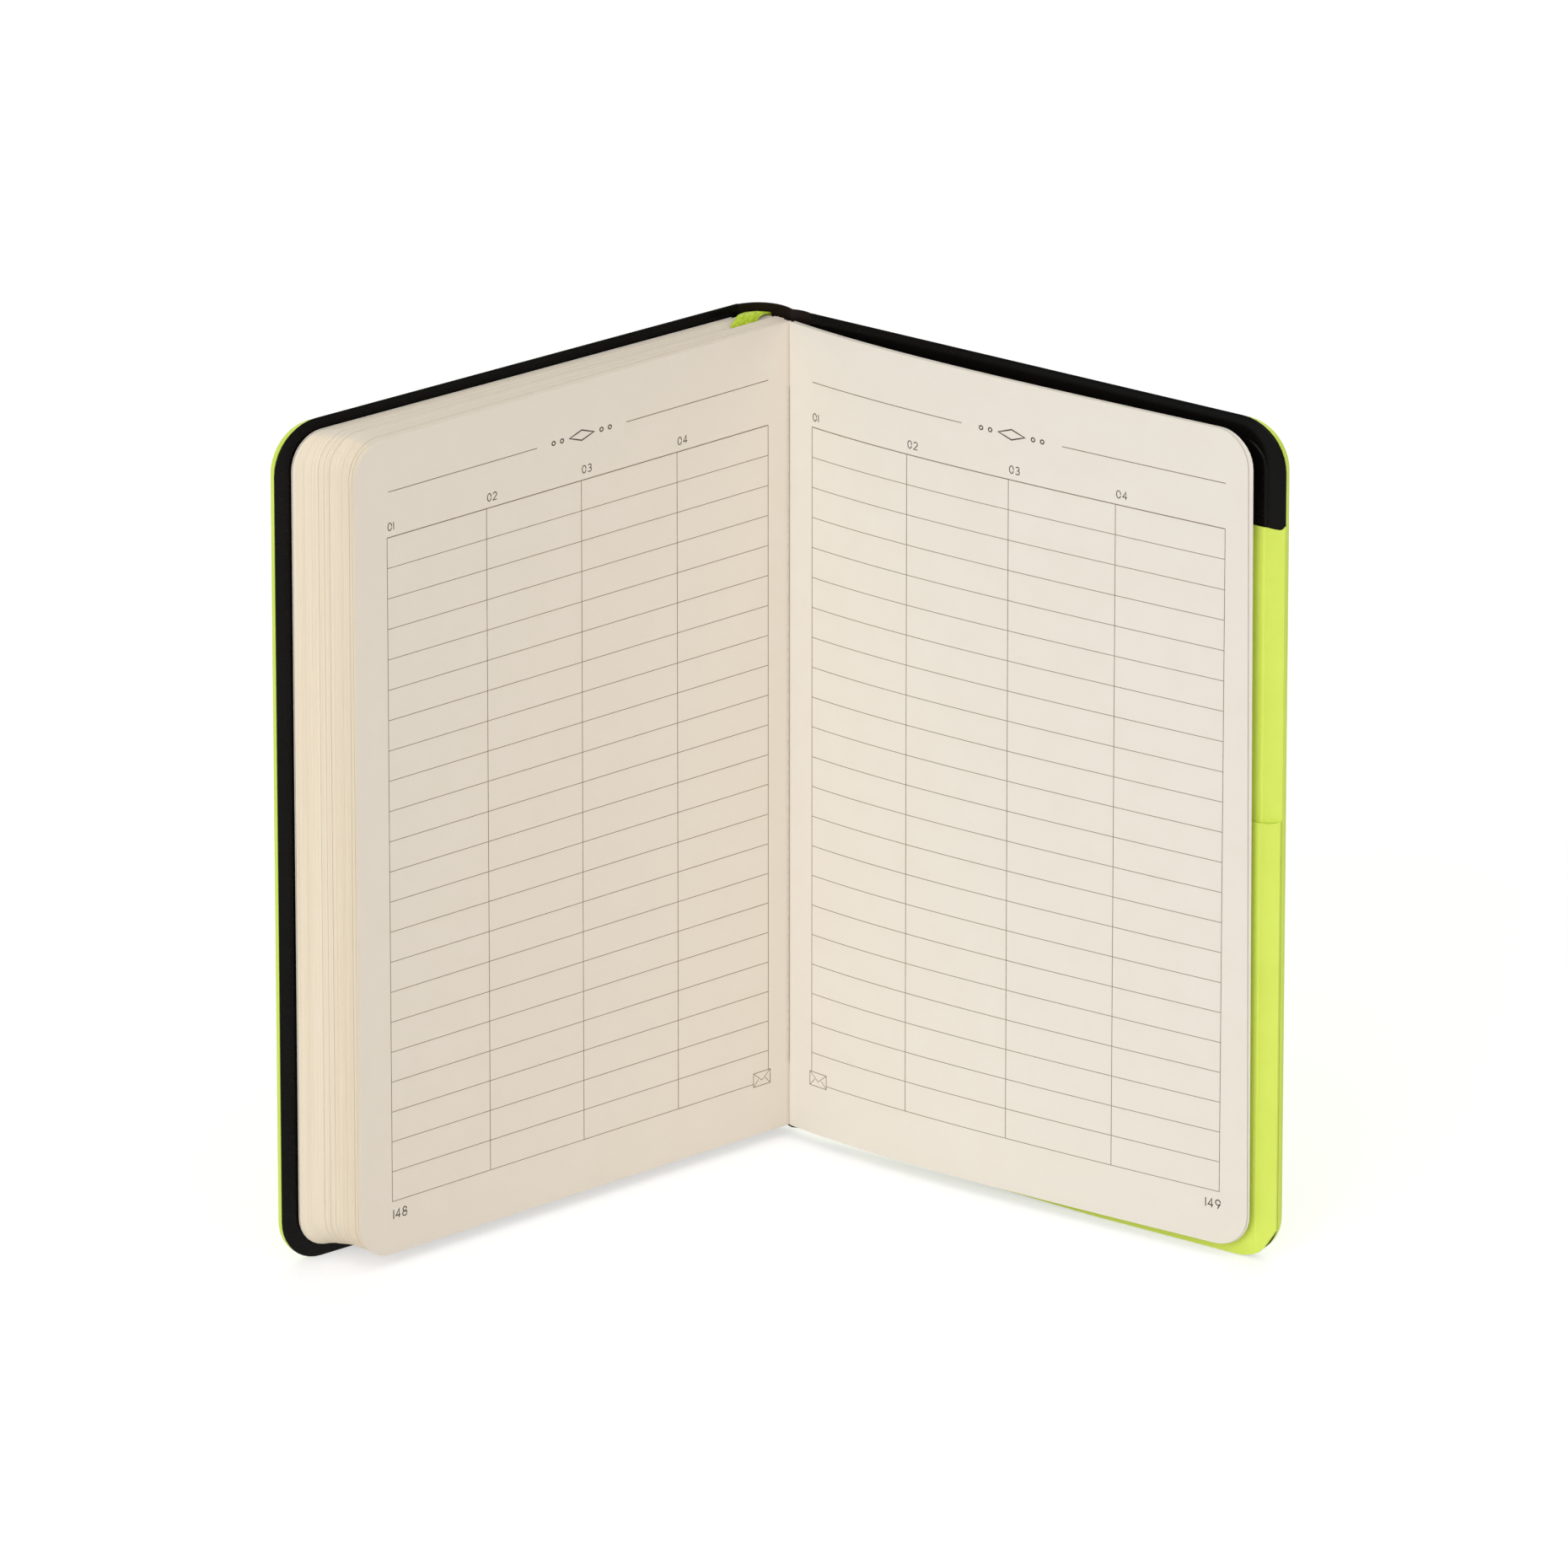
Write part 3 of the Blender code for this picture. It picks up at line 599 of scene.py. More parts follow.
def fold_at(q):
    """Distance along the page at which a fold at depth q meets the rounded back."""
    inside = FOLD_RADIUS ** 2 - (q - SPINE_CENTRE[1]) ** 2
    return SPINE_CENTRE[0] - math.sqrt(max(inside, 0.0))


def block_face(share, shift):
    """Plan line of a sheet face that lies at a share of the block's depth."""
    start = fold_at(-(LEAF_ALLOWANCE + (BLOCK_AT_FOLD - LEAF_ALLOWANCE) * share))

    def place(u):
        p = start + u
        depth = BLOCK_AT_FOLD + BLOCK_SPREAD * p
        return Vector((p, -(LEAF_ALLOWANCE + (depth - LEAF_ALLOWANCE) * share) + shift(u)))
    return place


def usual_gap(u):
    """Half the space between two sections."""
    return HALF_GAP


def slot_gap(u):
    """Half the space round the ribbon, closing away from it."""
    share = min(max((u - SLOT_OPEN) / SLOT_CLOSING, 0.0), 1.0)
    return HALF_SLOT + (HALF_GAP - HALF_SLOT) * share


def first_gap(u):
    """The first section reaches towards the left leaf, so its gap is negative."""
    return -FIRST_REACH


def fan_gap(u):
    """The first section stands a little off the next one towards the fore-edge."""
    return HALF_GAP + FIRST_FAN * u / PAGE_WIDTH


def section_gaps(index):
    """Gaps on the near and far side of a section."""
    if index == 0:
        return first_gap, fan_gap
    near = slot_gap if index == RIBBON_SECTION else usual_gap
    far = slot_gap if index + 1 == RIBBON_SECTION else usual_gap
    return near, far


def leaf_trims(dice):
    """Uneven trim of the leaf edges, section by section: a common trim and a drift from leaf to leaf."""
    drift = 0.0
    for _ in range(SECTIONS):
        trim = dice.uniform(*TRIM)
        insets = []
        for _ in range(LEAVES):
            drift = DRIFT_KEPT * drift + dice.uniform(*DRIFT)
            insets.append(min(max(trim + drift, 0.0), MOST_TRIM))
        yield insets


def edge_rows(insets):
    """Shares of a section's depth, with the inset of its outline there."""
    rows = [(0.0, insets[0] + EDGE_EASE)]
    for leaf, inset in enumerate(insets):
        rows += [((leaf + BAND_START) / LEAVES, inset), ((leaf + BAND_END) / LEAVES, inset)]
        if leaf + 1 < LEAVES:
            rows.append(((leaf + 1.0) / LEAVES, max(inset, insets[leaf + 1]) + GROOVE))
    rows.append((1.0, insets[-1] + EDGE_EASE))
    return rows


def section(index, insets):
    """Sewn section with banded edges, drawn together at its fold, and page paper on its two broad faces."""
    near_gap, far_gap = section_gaps(index)
    near = block_face(index / SECTIONS, lambda u: -near_gap(u))
    far = block_face((index + 1) / SECTIONS, far_gap)
    rings = []
    for share, inset in edge_rows(insets):
        corner = PAGE_CORNER - inset
        low, high = PAGE_BOTTOM + inset, PAGE_TOP - inset
        points = outline(0.0, PAGE_WIDTH - inset, low, high, corner, corner)
        points.insert(1, (FOLD_LENGTH, low))
        points.insert(-1, (FOLD_LENGTH, high))
        ring = []
        for u, z in points:
            spot = near(u).lerp(far(u), share)
            if u < 0.5 * FOLD_LENGTH:
                spot = spot.lerp(near(u).lerp(far(u), 0.5), FOLD_PINCH)
            ring.append(block(*spot, z))
        rings.append(ring)
    node = f"section_{index + 1:02d}"
    made = piece(f"{node}_leaves", lofted(rings), PAGE_EDGE, "block", node, sharp=25.0)
    made.data.materials.append(PAGE_PAPER)
    for face in made.data.polygons:
        face.material_index = 1 if len(face.vertices) > 4 else 0


for index, insets in enumerate(leaf_trims(random.Random(TRIM_SEED))):
    section(index, insets)


# Bent right-hand leaves and the fold between the open pages

LEAF_STRIPS, STRIP_GROWTH, PULL_POWER = 48, 1.3, 4
GUTTER_STEPS, GUTTER_SINK, GUTTER_EASE = 8, 0.7 * MM, 0.03 * MM


def leaf_path(u):
    """Distance of the open right-hand page from the hinge plane of the back cover."""
    turned = LEAF_END * u + (LEAF_START - LEAF_END) * LEAF_DECAY * (1.0 - math.exp(-u / LEAF_DECAY))
    return -LEAF_OFFSET + math.radians(turned)


def right_leaf(node, root, spread, shorter, tail_pull, head_pull, power):
    """Smooth bent leaf on the back hinge line; the pulls draw its fore-edge in, as an arched leaf's is."""
    start = LEAF_ROOT + shorter
    points = outline(start, LEAF_ROOT + PAGE_WIDTH, PAGE_BOTTOM, PAGE_TOP, PAGE_CORNER, PAGE_CORNER)
    cuts = [start + PAGE_WIDTH * (step / LEAF_STRIPS) ** STRIP_GROWTH for step in range(1, LEAF_STRIPS)]

    def face(shift):
        def place(u, z):
            out = max(u, 0.0) / PAGE_WIDTH
            up = (z - PAGE_BOTTOM) / PAGE_HEIGHT
            u -= (tail_pull + (head_pull - tail_pull) * up ** power) * out ** PULL_POWER
            return back(u, leaf_path(u) + root + spread * out + shift, z)
        return place

    mesh = bent_sheet(points, cuts, face(-0.5 * LEAF_THICKNESS), face(0.5 * LEAF_THICKNESS))
    piece(f"{node}_sheet", mesh, PAGE_PAPER, node, node)


def gutter_fold():
    """Paper of the fold between the two open pages."""
    left = Vector((fold_at(0.0), -0.5 * LEAF_THICKNESS))
    right = block.local(back(LEAF_ROOT, leaf_path(LEAF_ROOT)))
    middle = left.lerp(right, 0.5) + Vector((-GUTTER_SINK, 0.0))
    rings = []
    for step in range(GUTTER_STEPS + 1):
        t = step / GUTTER_STEPS
        spot = left.lerp(middle, t).lerp(middle.lerp(right, t), t)
        ahead = (middle - left).lerp(right - middle, t).normalized()
        side = Vector((-ahead.y, ahead.x)) * 0.5 * LEAF_THICKNESS
        ends = block(*(spot - side)), block(*(spot + side))
        rings.append(strip_ring(*ends, PAGE_BOTTOM, PAGE_TOP, GUTTER_EASE))
    made = piece("gutter_fold", lofted(rings), WARM_SHADED_LEFT_PAPER, slot="left_leaf")
    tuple(block(*left))
    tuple(block(*right))
    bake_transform(made)


right_leaf("right_leaf_1", root=0.0, spread=0.0, shorter=0.0, tail_pull=0.0, head_pull=1.6 * MM, power=2.0)
right_leaf("right_leaf_2", root=0.4 * MM, spread=-0.05 * MM, shorter=0.4 * MM,
           tail_pull=-0.4 * MM, head_pull=0.5 * MM, power=1.0)
right_leaf("back_flyleaf", root=0.9 * MM, spread=-0.1 * MM, shorter=0.5 * MM,
           tail_pull=0.8 * MM, head_pull=1.1 * MM, power=1.0)
gutter_fold()


# Pocket: a sheet that shows the raised panel under it and turns over the lining's edge, and a shorter panel

# Lower corner, cut in unequal folds: angle in degrees and how far it passes the cover's round corner
POCKET_CORNER = (
    (-79.0, -0.1 * MM), (-65.0, 0.0), (-56.0, 0.15 * MM), (-45.0, 0.0), (-22.0, 0.0)
)
# The lip starts so far below the corner's centre, and turns over the lining by a share of its length
LIP_LOW, LIP_TURN = 2.0 * MM, 0.75
# Top of the sheet beside its lip: shares of its rise, inward from the fold and up
SHEET_TOP = ((0.25, 0.55), (0.6, 0.25), (1.1, 0.08), (2.0, 0.0))
# Top of the panel, which bows up to its outer end; places and fade are in millimetres from there
PANEL_PLACES = (0.0, 0.5, 1.0, 1.6, 2.3, 3.2, 4.4, 6.0, 9.0, 15.0, 25.0, 40.0, 60.0, 80.0)
PANEL_BOW, BOW_SLOPE, BOW_FADE = 1.5 * MM, 0.4, 1.8
PANEL_RELIEF, RIDGE_STEPS = 0.5, 5

pocket_face = BACK_LINING_FACE - RIDGE_HEIGHT - LAYER_GAP
panel_face = pocket_face - POCKET_SHEET - LAYER_GAP
pocket_fold = COVER_WIDTH + LAYER_GAP
lip_growth = 1.0 + POCKET_SHEET / POCKET_LIP


def pocket_foot(right):
    """Lower part of a pocket outline: the tail edge and the folded corner, up to the fold."""
    centre_u, centre_z = COVER_WIDTH - COVER_CORNER, COVER_CORNER
    points = sagged([(POCKET_SIDE, POCKET_TAIL), (centre_u, POCKET_TAIL)])
    for degrees, past in POCKET_CORNER:
        angle = math.radians(degrees)
        radius = COVER_CORNER + past
        points.append((centre_u + radius * math.cos(angle), centre_z + radius * math.sin(angle)))
    points.append((right, centre_z - LIP_LOW))
    return points


def sheet_points():
    """Back sheet: a lip past its fold, and a top that rises to the lip."""
    points = pocket_foot(pocket_fold)
    top, rise = POCKET_BACK_TOP, POCKET_TOP_RISE
    lip = pocket_fold + POCKET_LIP
    points += [(lip, points[-1][1]), (lip, top + rise), (pocket_fold, top + rise)]
    points += [(pocket_fold - inward * rise, top + up * rise) for inward, up in SHEET_TOP]
    points.append((POCKET_SIDE, top))
    return points


def panel_points():
    """Front panel: no lip, and a top that bows up to its outer end."""
    right = pocket_fold + POCKET_SHEET
    points = pocket_foot(right)
    for inward in PANEL_PLACES:
        share = 1.0 - inward * MM / (right - POCKET_SIDE)
        bow = PANEL_BOW * (BOW_SLOPE * share ** 2 + math.exp(-inward / BOW_FADE))
        points.append((right - inward * MM, POCKET_FRONT_TOP + bow))
    points.append((POCKET_SIDE, POCKET_FRONT_TOP))
    return points


def relief(u):
    """How far the pocket sheet sinks beyond the raised panel of the lining."""
    share = (u - (COVER_WIDTH - RIDGE_INSET - RIDGE_WIDTH)) / RIDGE_WIDTH
    share = min(max(share, 0.0), 1.0)
    return RIDGE_HEIGHT * share * share * (3.0 - 2.0 * share)


def pocket_sheet(face, turn_at, growth):
    """Face of the back sheet: along the lining, then turned over its edge."""
    def place(u, z):
        if u <= pocket_fold - 0.5 * LAYER_GAP:
            return back(u, face + relief(u), z)
        past = max(u - pocket_fold, 0.0)
        return back(turn_at, face + RIDGE_HEIGHT + past * growth * LIP_TURN, z)
    return place


def pocket_panel(face):
    """Face of the front panel, which follows half of the sheet's relief."""
    def place(u, z):
        return back(u, face + PANEL_RELIEF * relief(u), z)
    return place


ridge_cuts = [
    COVER_WIDTH - RIDGE_INSET - RIDGE_WIDTH * step / RIDGE_STEPS for step in range(RIDGE_STEPS, -1, -1)
]
sheet_mesh = bent_sheet(
    sheet_points(), ridge_cuts + [pocket_fold],
    pocket_sheet(pocket_face, pocket_fold, 1.0),
    pocket_sheet(pocket_face - POCKET_SHEET, pocket_fold + POCKET_SHEET, lip_growth)
)
piece("pocket_back_sheet_dressed", sheet_mesh, LIME_PAPER, "back_cover", "pocket_back_sheet", sharp=40.0)
panel_mesh = bent_sheet(
    panel_points(), ridge_cuts, pocket_panel(panel_face), pocket_panel(panel_face - POCKET_PANEL)
)
piece("pocket_front_panel_dressed", panel_mesh, LIME_PAPER, "back_cover", "pocket_front_panel", sharp=40.0)


# Printed ruling, drawn as thin raised strokes on the page faces

INK_TOP, INK_BASE = 0.02 * MM, -0.03 * MM
MITER_LIMIT = 0.5

# Sizes of the print, in millimetres
LONGEST_STRIP = 3.0
TABLE_BOTTOM, TABLE_TOP, TABLE_ROWS = 14.0, 157.3, 22
HEAD_LEVEL = 167.0
TOP_RULE, ROW_RULE, COLUMN_RULE, HEAD_RULE = 0.21, 0.13, 0.14, 0.17
ENVELOPE_OUT, ENVELOPE_PAST, ENVELOPE_UP, ENVELOPE_DOWN = 4.0, 0.5, 2.3, 0.7
FLAP_POINT, FOLD_RUN, FOLD_UP = 1.1, 0.9, 1.5
ENVELOPE_RULE, FLAP_RULE = 0.15, 0.13
LABEL_ABOVE, LABEL_HEIGHT, LABEL_RULE = 1.45, 1.6, 0.2
NUMBER_BASE, NUMBER_HEIGHT, NUMBER_RULE = 10.2, 1.9, 0.24
DOT_PLACES, DOT_RADIUS, DOT_RULE = (-7.4, -5.2, 5.2, 7.4), 0.42, 0.26
DIAMOND_HALF, DIAMOND_UP, DIAMOND_RULE = 3.2, 1.1, 0.28


def left_page(d, z, lift):
    """Point over the left page, d from the gutter."""
    return block(d, lift, z)


def right_page(d, z, lift):
    """Point over the right page, d from the hinge line."""
    return back(d, leaf_path(d) - 0.5 * LEAF_THICKNESS - lift, z)


def stroke(mesh, surface, points, width, closed=False):
    """Adds one flat line of even width along page points given in millimetres."""
    path = [Vector(points[0])]
    for point in list(points[1:]) + ([points[0]] if closed else []):
        start, end = path[-1], Vector(point)
        parts = max(1, math.ceil((end - start).length / LONGEST_STRIP))
        path += [start.lerp(end, part / parts) for part in range(1, parts + 1)]
    if closed:
        path.pop()
    rings = []
    for index, point in enumerate(path):
        before = path[index - 1] if index or closed else point
        after = path[(index + 1) % len(path)] if index + 1 < len(path) or closed else point
        first = (point - before).normalized() if (point - before).length else (after - point).normalized()
        second = (after - point).normalized() if (after - point).length else first
        normal = Vector((-first.y - second.y, first.x + second.x))
        normal = normal.normalized() if normal.length > 1e-6 else Vector((-first.y, first.x))
        miter = max(abs(normal.dot(Vector((-first.y, first.x)))), MITER_LIMIT)
        side = normal * (0.5 * width / miter)
        top = [(point + side, INK_TOP), (point - side, INK_TOP)]
        base = [(point - side, INK_BASE), (point + side, INK_BASE)]
        rings.append([surface(spot.x * MM, spot.y * MM, lift) for spot, lift in top + base])
    if closed:
        join_rings(mesh, rings, endless=True)
    else:
        loft(mesh, rings)


def arc(centre, radii, start, end, steps=14):
    """Points of an elliptical arc, angles in degrees."""
    points = []
    for step in range(steps + 1):
        angle = math.radians(start + (end - start) * step / steps)
        points.append((centre[0] + radii[0] * math.cos(angle), centre[1] + radii[1] * math.sin(angle)))
    return points


# Angle in degrees at which a round line stops short of its start
ROUND_END = 345.0
# Plain numerals as single-line strokes in a box 0.6 wide and 1 high
NUMERALS = {
    "0": [arc((0.3, 0.5), (0.3, 0.5), 0.0, ROUND_END, 22)],
    "1": [[(0.3, 0.0), (0.3, 1.0)]],
    "2": [arc((0.3, 0.71), (0.28, 0.29), 165.0, -40.0) + [(0.0, 0.0), (0.6, 0.0)]],
    "3": [arc((0.28, 0.75), (0.25, 0.25), 150.0, -90.0) + arc((0.28, 0.26), (0.3, 0.26), 85.0, -150.0)],
    "4": [[(0.44, 0.0), (0.44, 1.0), (0.0, 0.28), (0.62, 0.28)]],
    "8": [
        arc((0.3, 0.75), (0.24, 0.25), 0.0, ROUND_END, 18),
        arc((0.3, 0.25), (0.3, 0.25), 0.0, ROUND_END, 18),
    ],
    "9": [arc((0.3, 0.7), (0.3, 0.3), 0.0, ROUND_END, 20), [(0.58, 0.58), (0.26, 0.0)]],
}
# Advance and shift of a numeral in heights: the narrow one, and the others
NARROW, WIDE = (0.32, -0.14), (0.92, 0.16)


def numerals(mesh, surface, text, left, base, height, width, flip):
    """Sets a plain number; flip is -1 where the page runs towards the gutter from left to right."""
    reached = 0.0
    for sign in text:
        advance, shift = NARROW if sign == "1" else WIDE
        for line in NUMERALS[sign]:
            points = [(left + flip * (reached + x + shift) * height, base + y * height) for x, y in line]
            stroke(mesh, surface, points, width)
        reached += advance


def envelope(mesh, surface, inner):
    """Small envelope sign in the table's lower corner by the gutter."""
    near, far = inner - ENVELOPE_PAST, inner + ENVELOPE_OUT
    low, high = TABLE_BOTTOM - ENVELOPE_DOWN, TABLE_BOTTOM + ENVELOPE_UP
    middle = 0.5 * (near + far)
    stroke(mesh, surface, [(near, low), (far, low), (far, high), (near, high)], ENVELOPE_RULE, closed=True)
    stroke(mesh, surface, [(near, high), (middle, low + FLAP_POINT), (far, high)], FLAP_RULE)
    stroke(mesh, surface, [(near, low), (middle - FOLD_RUN, low + FOLD_UP)], FLAP_RULE)
    stroke(mesh, surface, [(far, low), (middle + FOLD_RUN, low + FOLD_UP)], FLAP_RULE)


def ornament(mesh, surface, centre):
    """Diamond between two pairs of dots, in the gap of the header rule."""
    for step in DOT_PLACES:
        ring = arc((centre + step, HEAD_LEVEL), (DOT_RADIUS, DOT_RADIUS), 0.0, ROUND_END)
        stroke(mesh, surface, ring[:-1], DOT_RULE, closed=True)
    sides = [(centre - DIAMOND_HALF, HEAD_LEVEL), (centre, HEAD_LEVEL - DIAMOND_UP)]
    sides += [(centre + DIAMOND_HALF, HEAD_LEVEL), (centre, HEAD_LEVEL + DIAMOND_UP)]
    stroke(mesh, surface, sides, DIAMOND_RULE, closed=True)


def ruling(name, surface, columns, flip, heads, number, number_left, body):
    """Table under a header rule, with column numerals, a page number and an envelope sign; places in mm."""
    inner, outer = columns[0], columns[-1]
    lines = bmesh.new()
    for row in range(TABLE_ROWS + 1):
        z = TABLE_BOTTOM + (TABLE_TOP - TABLE_BOTTOM) * row / TABLE_ROWS
        start = inner + ENVELOPE_OUT if row == 0 else inner
        stroke(lines, surface, [(start, z), (outer, z)], TOP_RULE if row == TABLE_ROWS else ROW_RULE)
    for column in columns:
        foot = TABLE_BOTTOM + ENVELOPE_UP if column == inner else TABLE_BOTTOM
        stroke(lines, surface, [(column, foot), (column, TABLE_TOP)], COLUMN_RULE)
    for start, end in heads:
        stroke(lines, surface, [(start, HEAD_LEVEL), (end, HEAD_LEVEL)], HEAD_RULE)
    envelope(lines, surface, inner)
    piece(f"{name}_rules", lines, RULE_INK, body)

    signs = bmesh.new()
    starts = columns[:-1] if flip > 0 else columns[:0:-1]
    for index, left in enumerate(starts):
        label = f"0{index + 1}"
        numerals(signs, surface, label, left, TABLE_TOP + LABEL_ABOVE, LABEL_HEIGHT, LABEL_RULE, flip)
    numerals(signs, surface, number, number_left, NUMBER_BASE, NUMBER_HEIGHT, NUMBER_RULE, flip)
    ornament(signs, surface, 0.5 * (heads[0][1] + heads[1][0]))
    piece(f"{name}_numerals", signs, TYPE_INK, body)


ruling("left_page", left_page, columns=[4.8, 29.1, 54.4, 79.3, 105.2], flip=-1.0,
       heads=[(4.75, 42.5), (66.0, 104.8)], number="148", number_left=105.2, body="block")
ruling("right_page", right_page, columns=[5.2, 30.0, 55.1, 80.8, 106.7], flip=1.0,
       heads=[(5.3, 43.6), (68.0, 106.7)], number="149", number_left=103.2, body="right_leaf_1")


# Ribbon marker: glued behind the folds, folded over the head, down between two sections

RIBBON_COLUMNS, RIBBON_STEPS = 12, 14
RIBBON_GATHER, RIBBON_STRAIGHT = 0.35, 5.0 * MM
# Bend over the head: from a low to a high share of the ribbon's rise
BEND_STEPS, BEND_LOW, BEND_HIGH = 5, 0.3, 2.0
# Ripple: its height, and its angle along and across the ribbon
RIPPLE, RIPPLE_ALONG, RIPPLE_ACROSS = 0.10 * MM, 3.0 * math.pi, 5.0
UP = Vector((0.0, 0.0, 1.0))

ribbon_shares = [column / RIBBON_COLUMNS - 0.5 for column in range(RIBBON_COLUMNS + 1)]


def ribbon_on_arc(radius, height, lean, gather=RIBBON_GATHER):
    """Row of points and normals across the ribbon behind the folds; gather narrows its gutter side."""
    centre = Vector((SPINE_CENTRE[0], SPINE_CENTRE[1], 0.0))
    row = []
    for share in ribbon_shares:
        across = share * (1.0 - gather) if share < 0.0 else share
        angle = RIBBON_ANGLE + across * RIBBON_WIDTH / RIBBON_RADIUS
        out = Vector((math.cos(angle), math.sin(angle), 0.0))
        row.append((centre + out * radius + UP * height, out.lerp(UP, lean).normalized()))
    return row


def ribbon_in_slot(height):
    """Row of points and normals across the ribbon between its two sections."""
    face = block_face(RIBBON_SECTION / SECTIONS, lambda u: 0.0)
    q = face(RIBBON_SLOT_AT - fold_at(-0.5 * BLOCK_AT_FOLD)).y
    along = Vector((1.0, -0.5 * BLOCK_SPREAD, 0.0)).normalized()
    out = Vector((-along.y, along.x, 0.0))
    middle = Vector((RIBBON_SLOT_AT, q, height))
    return [(middle + along * share * RIBBON_WIDTH, out) for share in ribbon_shares]


def ribbon_over_head(over, down):
    """Rows of the loose stretch across the head: a low hump with a slight ripple, flatter at one side."""
    for step in range(1, RIBBON_STEPS):
        share = step / RIBBON_STEPS
        row = []
        for across, (start, start_out), (end, end_out) in zip(ribbon_shares, over, down):
            swell = min((across + 0.5) / RIBBON_SWELL_SPAN, 1.0)
            swell = RIBBON_FLAT_END + (1.0 - RIBBON_FLAT_END) * swell
            ripple = RIPPLE * math.sin(RIPPLE_ALONG * share + RIPPLE_ACROSS * across)
            lift = swell * (RIBBON_HUMP * 4.0 * share * (1.0 - share) + ripple * math.sin(math.pi * share))
            row.append((start.lerp(end, share) + UP * lift, start_out.lerp(end_out, share ** 3).normalized()))
        yield row


def ribbon():
    """Soft ribbon, from its glued end to its free end."""
    over = ribbon_on_arc(RIBBON_RADIUS - RIBBON_TURN, PAGE_TOP + BEND_HIGH * RIBBON_RISE, 1.0)
    down = ribbon_in_slot(PAGE_TOP + RIBBON_RISE)
    rows = [ribbon_on_arc(RIBBON_RADIUS, PAGE_TOP - RIBBON_GLUED, 0.0, gather=0.0)]
    rows.append(ribbon_on_arc(RIBBON_RADIUS, PAGE_TOP + BEND_LOW * RIBBON_RISE, 0.0))
    for step in range(1, BEND_STEPS):
        share = step / BEND_STEPS
        turned = 0.5 * math.pi * share
        radius = RIBBON_RADIUS - RIBBON_TURN * (1.0 - math.cos(turned))
        height = PAGE_TOP + RIBBON_RISE * (BEND_LOW + (BEND_HIGH - BEND_LOW) * math.sin(turned))
        rows.append(ribbon_on_arc(radius, height, share))
    rows += [over, *ribbon_over_head(over, down), down]
    rows += [ribbon_in_slot(PAGE_TOP - RIBBON_STRAIGHT), ribbon_in_slot(RIBBON_END)]

    rings = []
    for row in rows:
        lower = [spot - normal * 0.5 * RIBBON_THICKNESS for spot, normal in row]
        upper = [spot + normal * 0.5 * RIBBON_THICKNESS for spot, normal in reversed(row)]
        rings.append([block(*spot) for spot in lower + upper])
    mesh = bmesh.new()
    made = join_rings(mesh, rings)
    for cap in (made[0], made[-1]):
        for column in range(RIBBON_COLUMNS):
            last = len(cap) - 1 - column
            mesh.faces.new((cap[column], cap[column + 1], cap[last - 1], cap[last]))
    piece("ribbon_marker_woven", mesh, RIBBON, "block", "ribbon_marker", sharp=50.0)


ribbon()


# Solids that keep their shape take the finished materials

for node, material in {
    "left_leaf": WARM_SHADED_LEFT_PAPER, "front_flyleaf": PAGE_PAPER, "sewing_thread": THREAD, "backing_cloth": CLOTH,
    "spine_card": BOARD, "front_cover_board": BOARD, "back_cover_board": BOARD,
}.items():
    data = frame["nodes"][node].data
    data.materials.clear()
    data.materials.append(material)


# Floor, light and camera

FLOOR_SIZE, FLOOR_GLOW = 6.0, 0.55
FLOOR_SHADES = (0.90, 0.90, 0.90, 1.0), (0.92, 0.92, 0.92, 1.0)
FLOOR_SEEN = (0.6, 0.6, 0.6, 1.0)
WHITE = (1.0, 1.0, 1.0, 1.0)
WORLD_STRENGTH = 0.40
# Name, direction from the object to the lamp, strength, and how wide it looks in degrees
LAMPS = (
    ("key", (-0.45, -0.80, 0.40), 1.00, 40.0),
    ("fill", (0.50, -0.78, 0.38), 0.36, 50.0),
    ("top", (0.0, -0.20, 1.00), 0.52, 60.0),
    ("rear", (0.10, 0.85, 0.50), 0.85, 60.0),
)
# Camera: the photograph's size in pixels and its scale, the camera's distance and height, and where it looks
PHOTO_SIZE, PIXELS_PER_MM = 1860.0, 5.8542
DISTANCE, ELEVATION = 3.8, math.radians(21.2236)
TARGET = Vector((0.00076, 0.0, 0.09088))
SENSOR = 36.0
CLIP_NEAR, CLIP_FAR = 0.1, 30.0


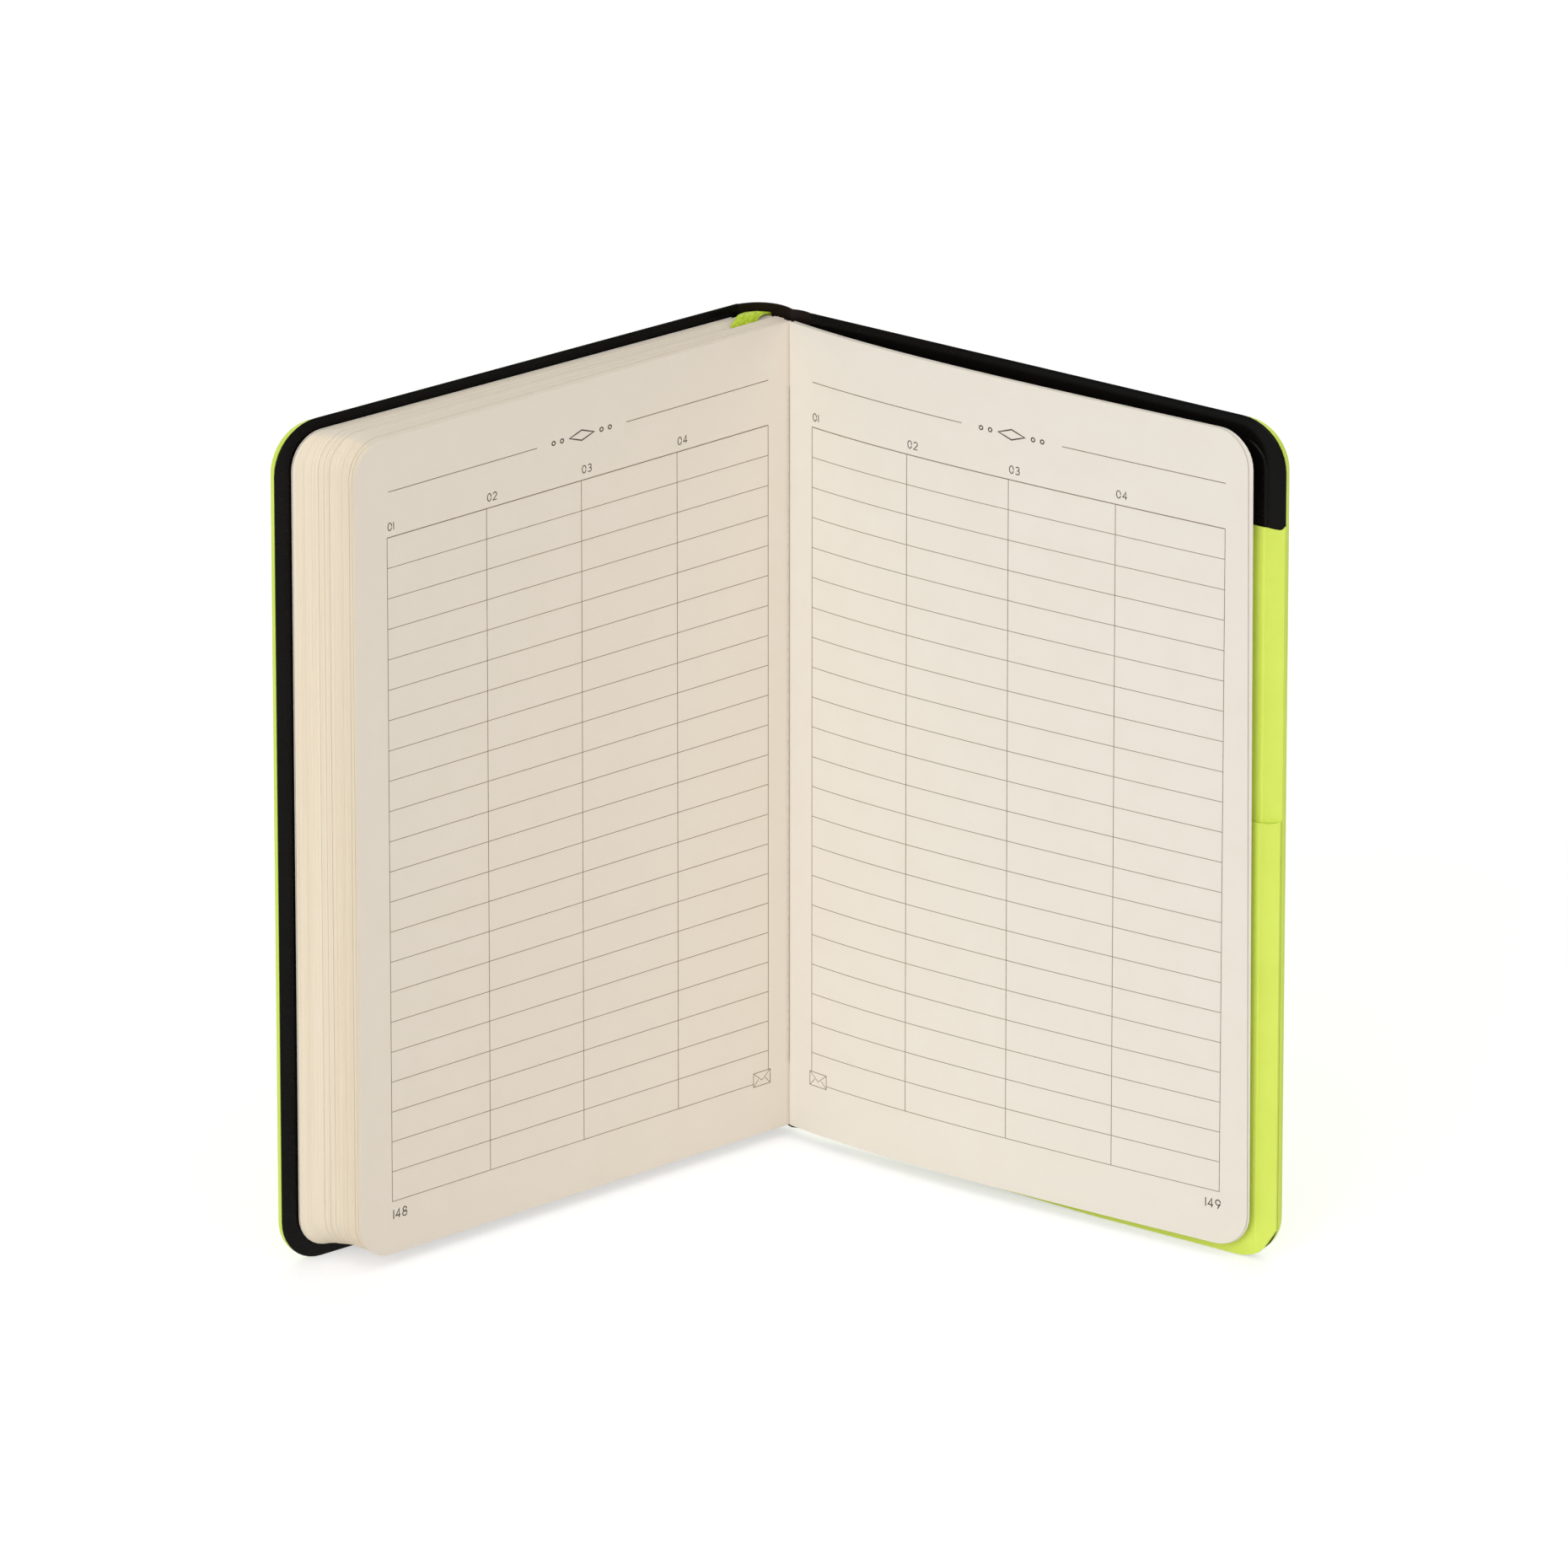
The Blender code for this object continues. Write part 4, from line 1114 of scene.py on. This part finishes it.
def floor():
    """Wide pale floor, which looks white to the camera and in reflections and keeps the object's shadow."""
    data = bpy.data.meshes.new("floor")
    mesh = bmesh.new()
    bmesh.ops.create_grid(mesh, x_segments=1, y_segments=1, size=FLOOR_SIZE)
    mesh.to_mesh(data)
    mesh.free()
    made = bpy.data.objects.new("floor", data)
    bpy.context.scene.collection.objects.link(made)
    look = Look("floor", roughness=0.95, specular=0.0)
    path = look.add("ShaderNodeLightPath")
    seen = path.outputs["Is Camera Ray"]
    for ray in ("Is Glossy Ray", "Is Transmission Ray"):
        either = look.add("ShaderNodeMath", operation="ADD", use_clamp=True)
        look.link(seen, either.inputs[0])
        look.link(path.outputs[ray], either.inputs[1])
        seen = either.outputs[0]
    glow = look.add("ShaderNodeMath", operation="MULTIPLY")
    glow.inputs[1].default_value = FLOOR_GLOW
    look.link(seen, glow.inputs[0])
    look.link(glow.outputs[0], look.shader.inputs["Emission Strength"])
    look.shader.inputs["Emission Color"].default_value = WHITE
    pale = look.ramp(look.noise(3.0), (0.0, FLOOR_SHADES[0]), (1.0, FLOOR_SHADES[1]))
    look.colour(look.tint(pale, seen, 1.0, FLOOR_SEEN))
    data.materials.append(look.material)


def sun(name, towards, strength, spread):
    """Broad soft light from one side."""
    data = bpy.data.lights.new(name, "SUN")
    data.energy = strength
    data.angle = math.radians(spread)
    made = bpy.data.objects.new(name, data)
    made.rotation_euler = Vector(towards).to_track_quat("Z", "Y").to_euler()
    bpy.context.scene.collection.objects.link(made)


def studio():
    """Even white light from all round."""
    world = bpy.data.worlds.new("studio")
    bpy.context.scene.world = world
    world.use_nodes = True
    background = world.node_tree.nodes["Background"]
    background.inputs["Color"].default_value = WHITE
    background.inputs["Strength"].default_value = WORLD_STRENGTH


def camera():
    """Camera at the photograph's viewing angle."""
    span = PHOTO_SIZE / PIXELS_PER_MM * MM
    data = bpy.data.cameras.new("camera")
    data.sensor_width = SENSOR
    data.lens = SENSOR * DISTANCE / span
    data.clip_start, data.clip_end = CLIP_NEAR, CLIP_FAR
    made = bpy.data.objects.new("camera", data)
    made.location = TARGET + DISTANCE * Vector((0.0, -math.cos(ELEVATION), math.sin(ELEVATION)))
    made.rotation_euler = (0.5 * math.pi - ELEVATION, 0.0, 0.0)
    bpy.context.scene.collection.objects.link(made)
    bpy.context.scene.camera = made


floor()
for lamp in LAMPS:
    sun(*lamp)
studio()
camera()
bpy.context.scene.view_settings.view_transform = "Standard"
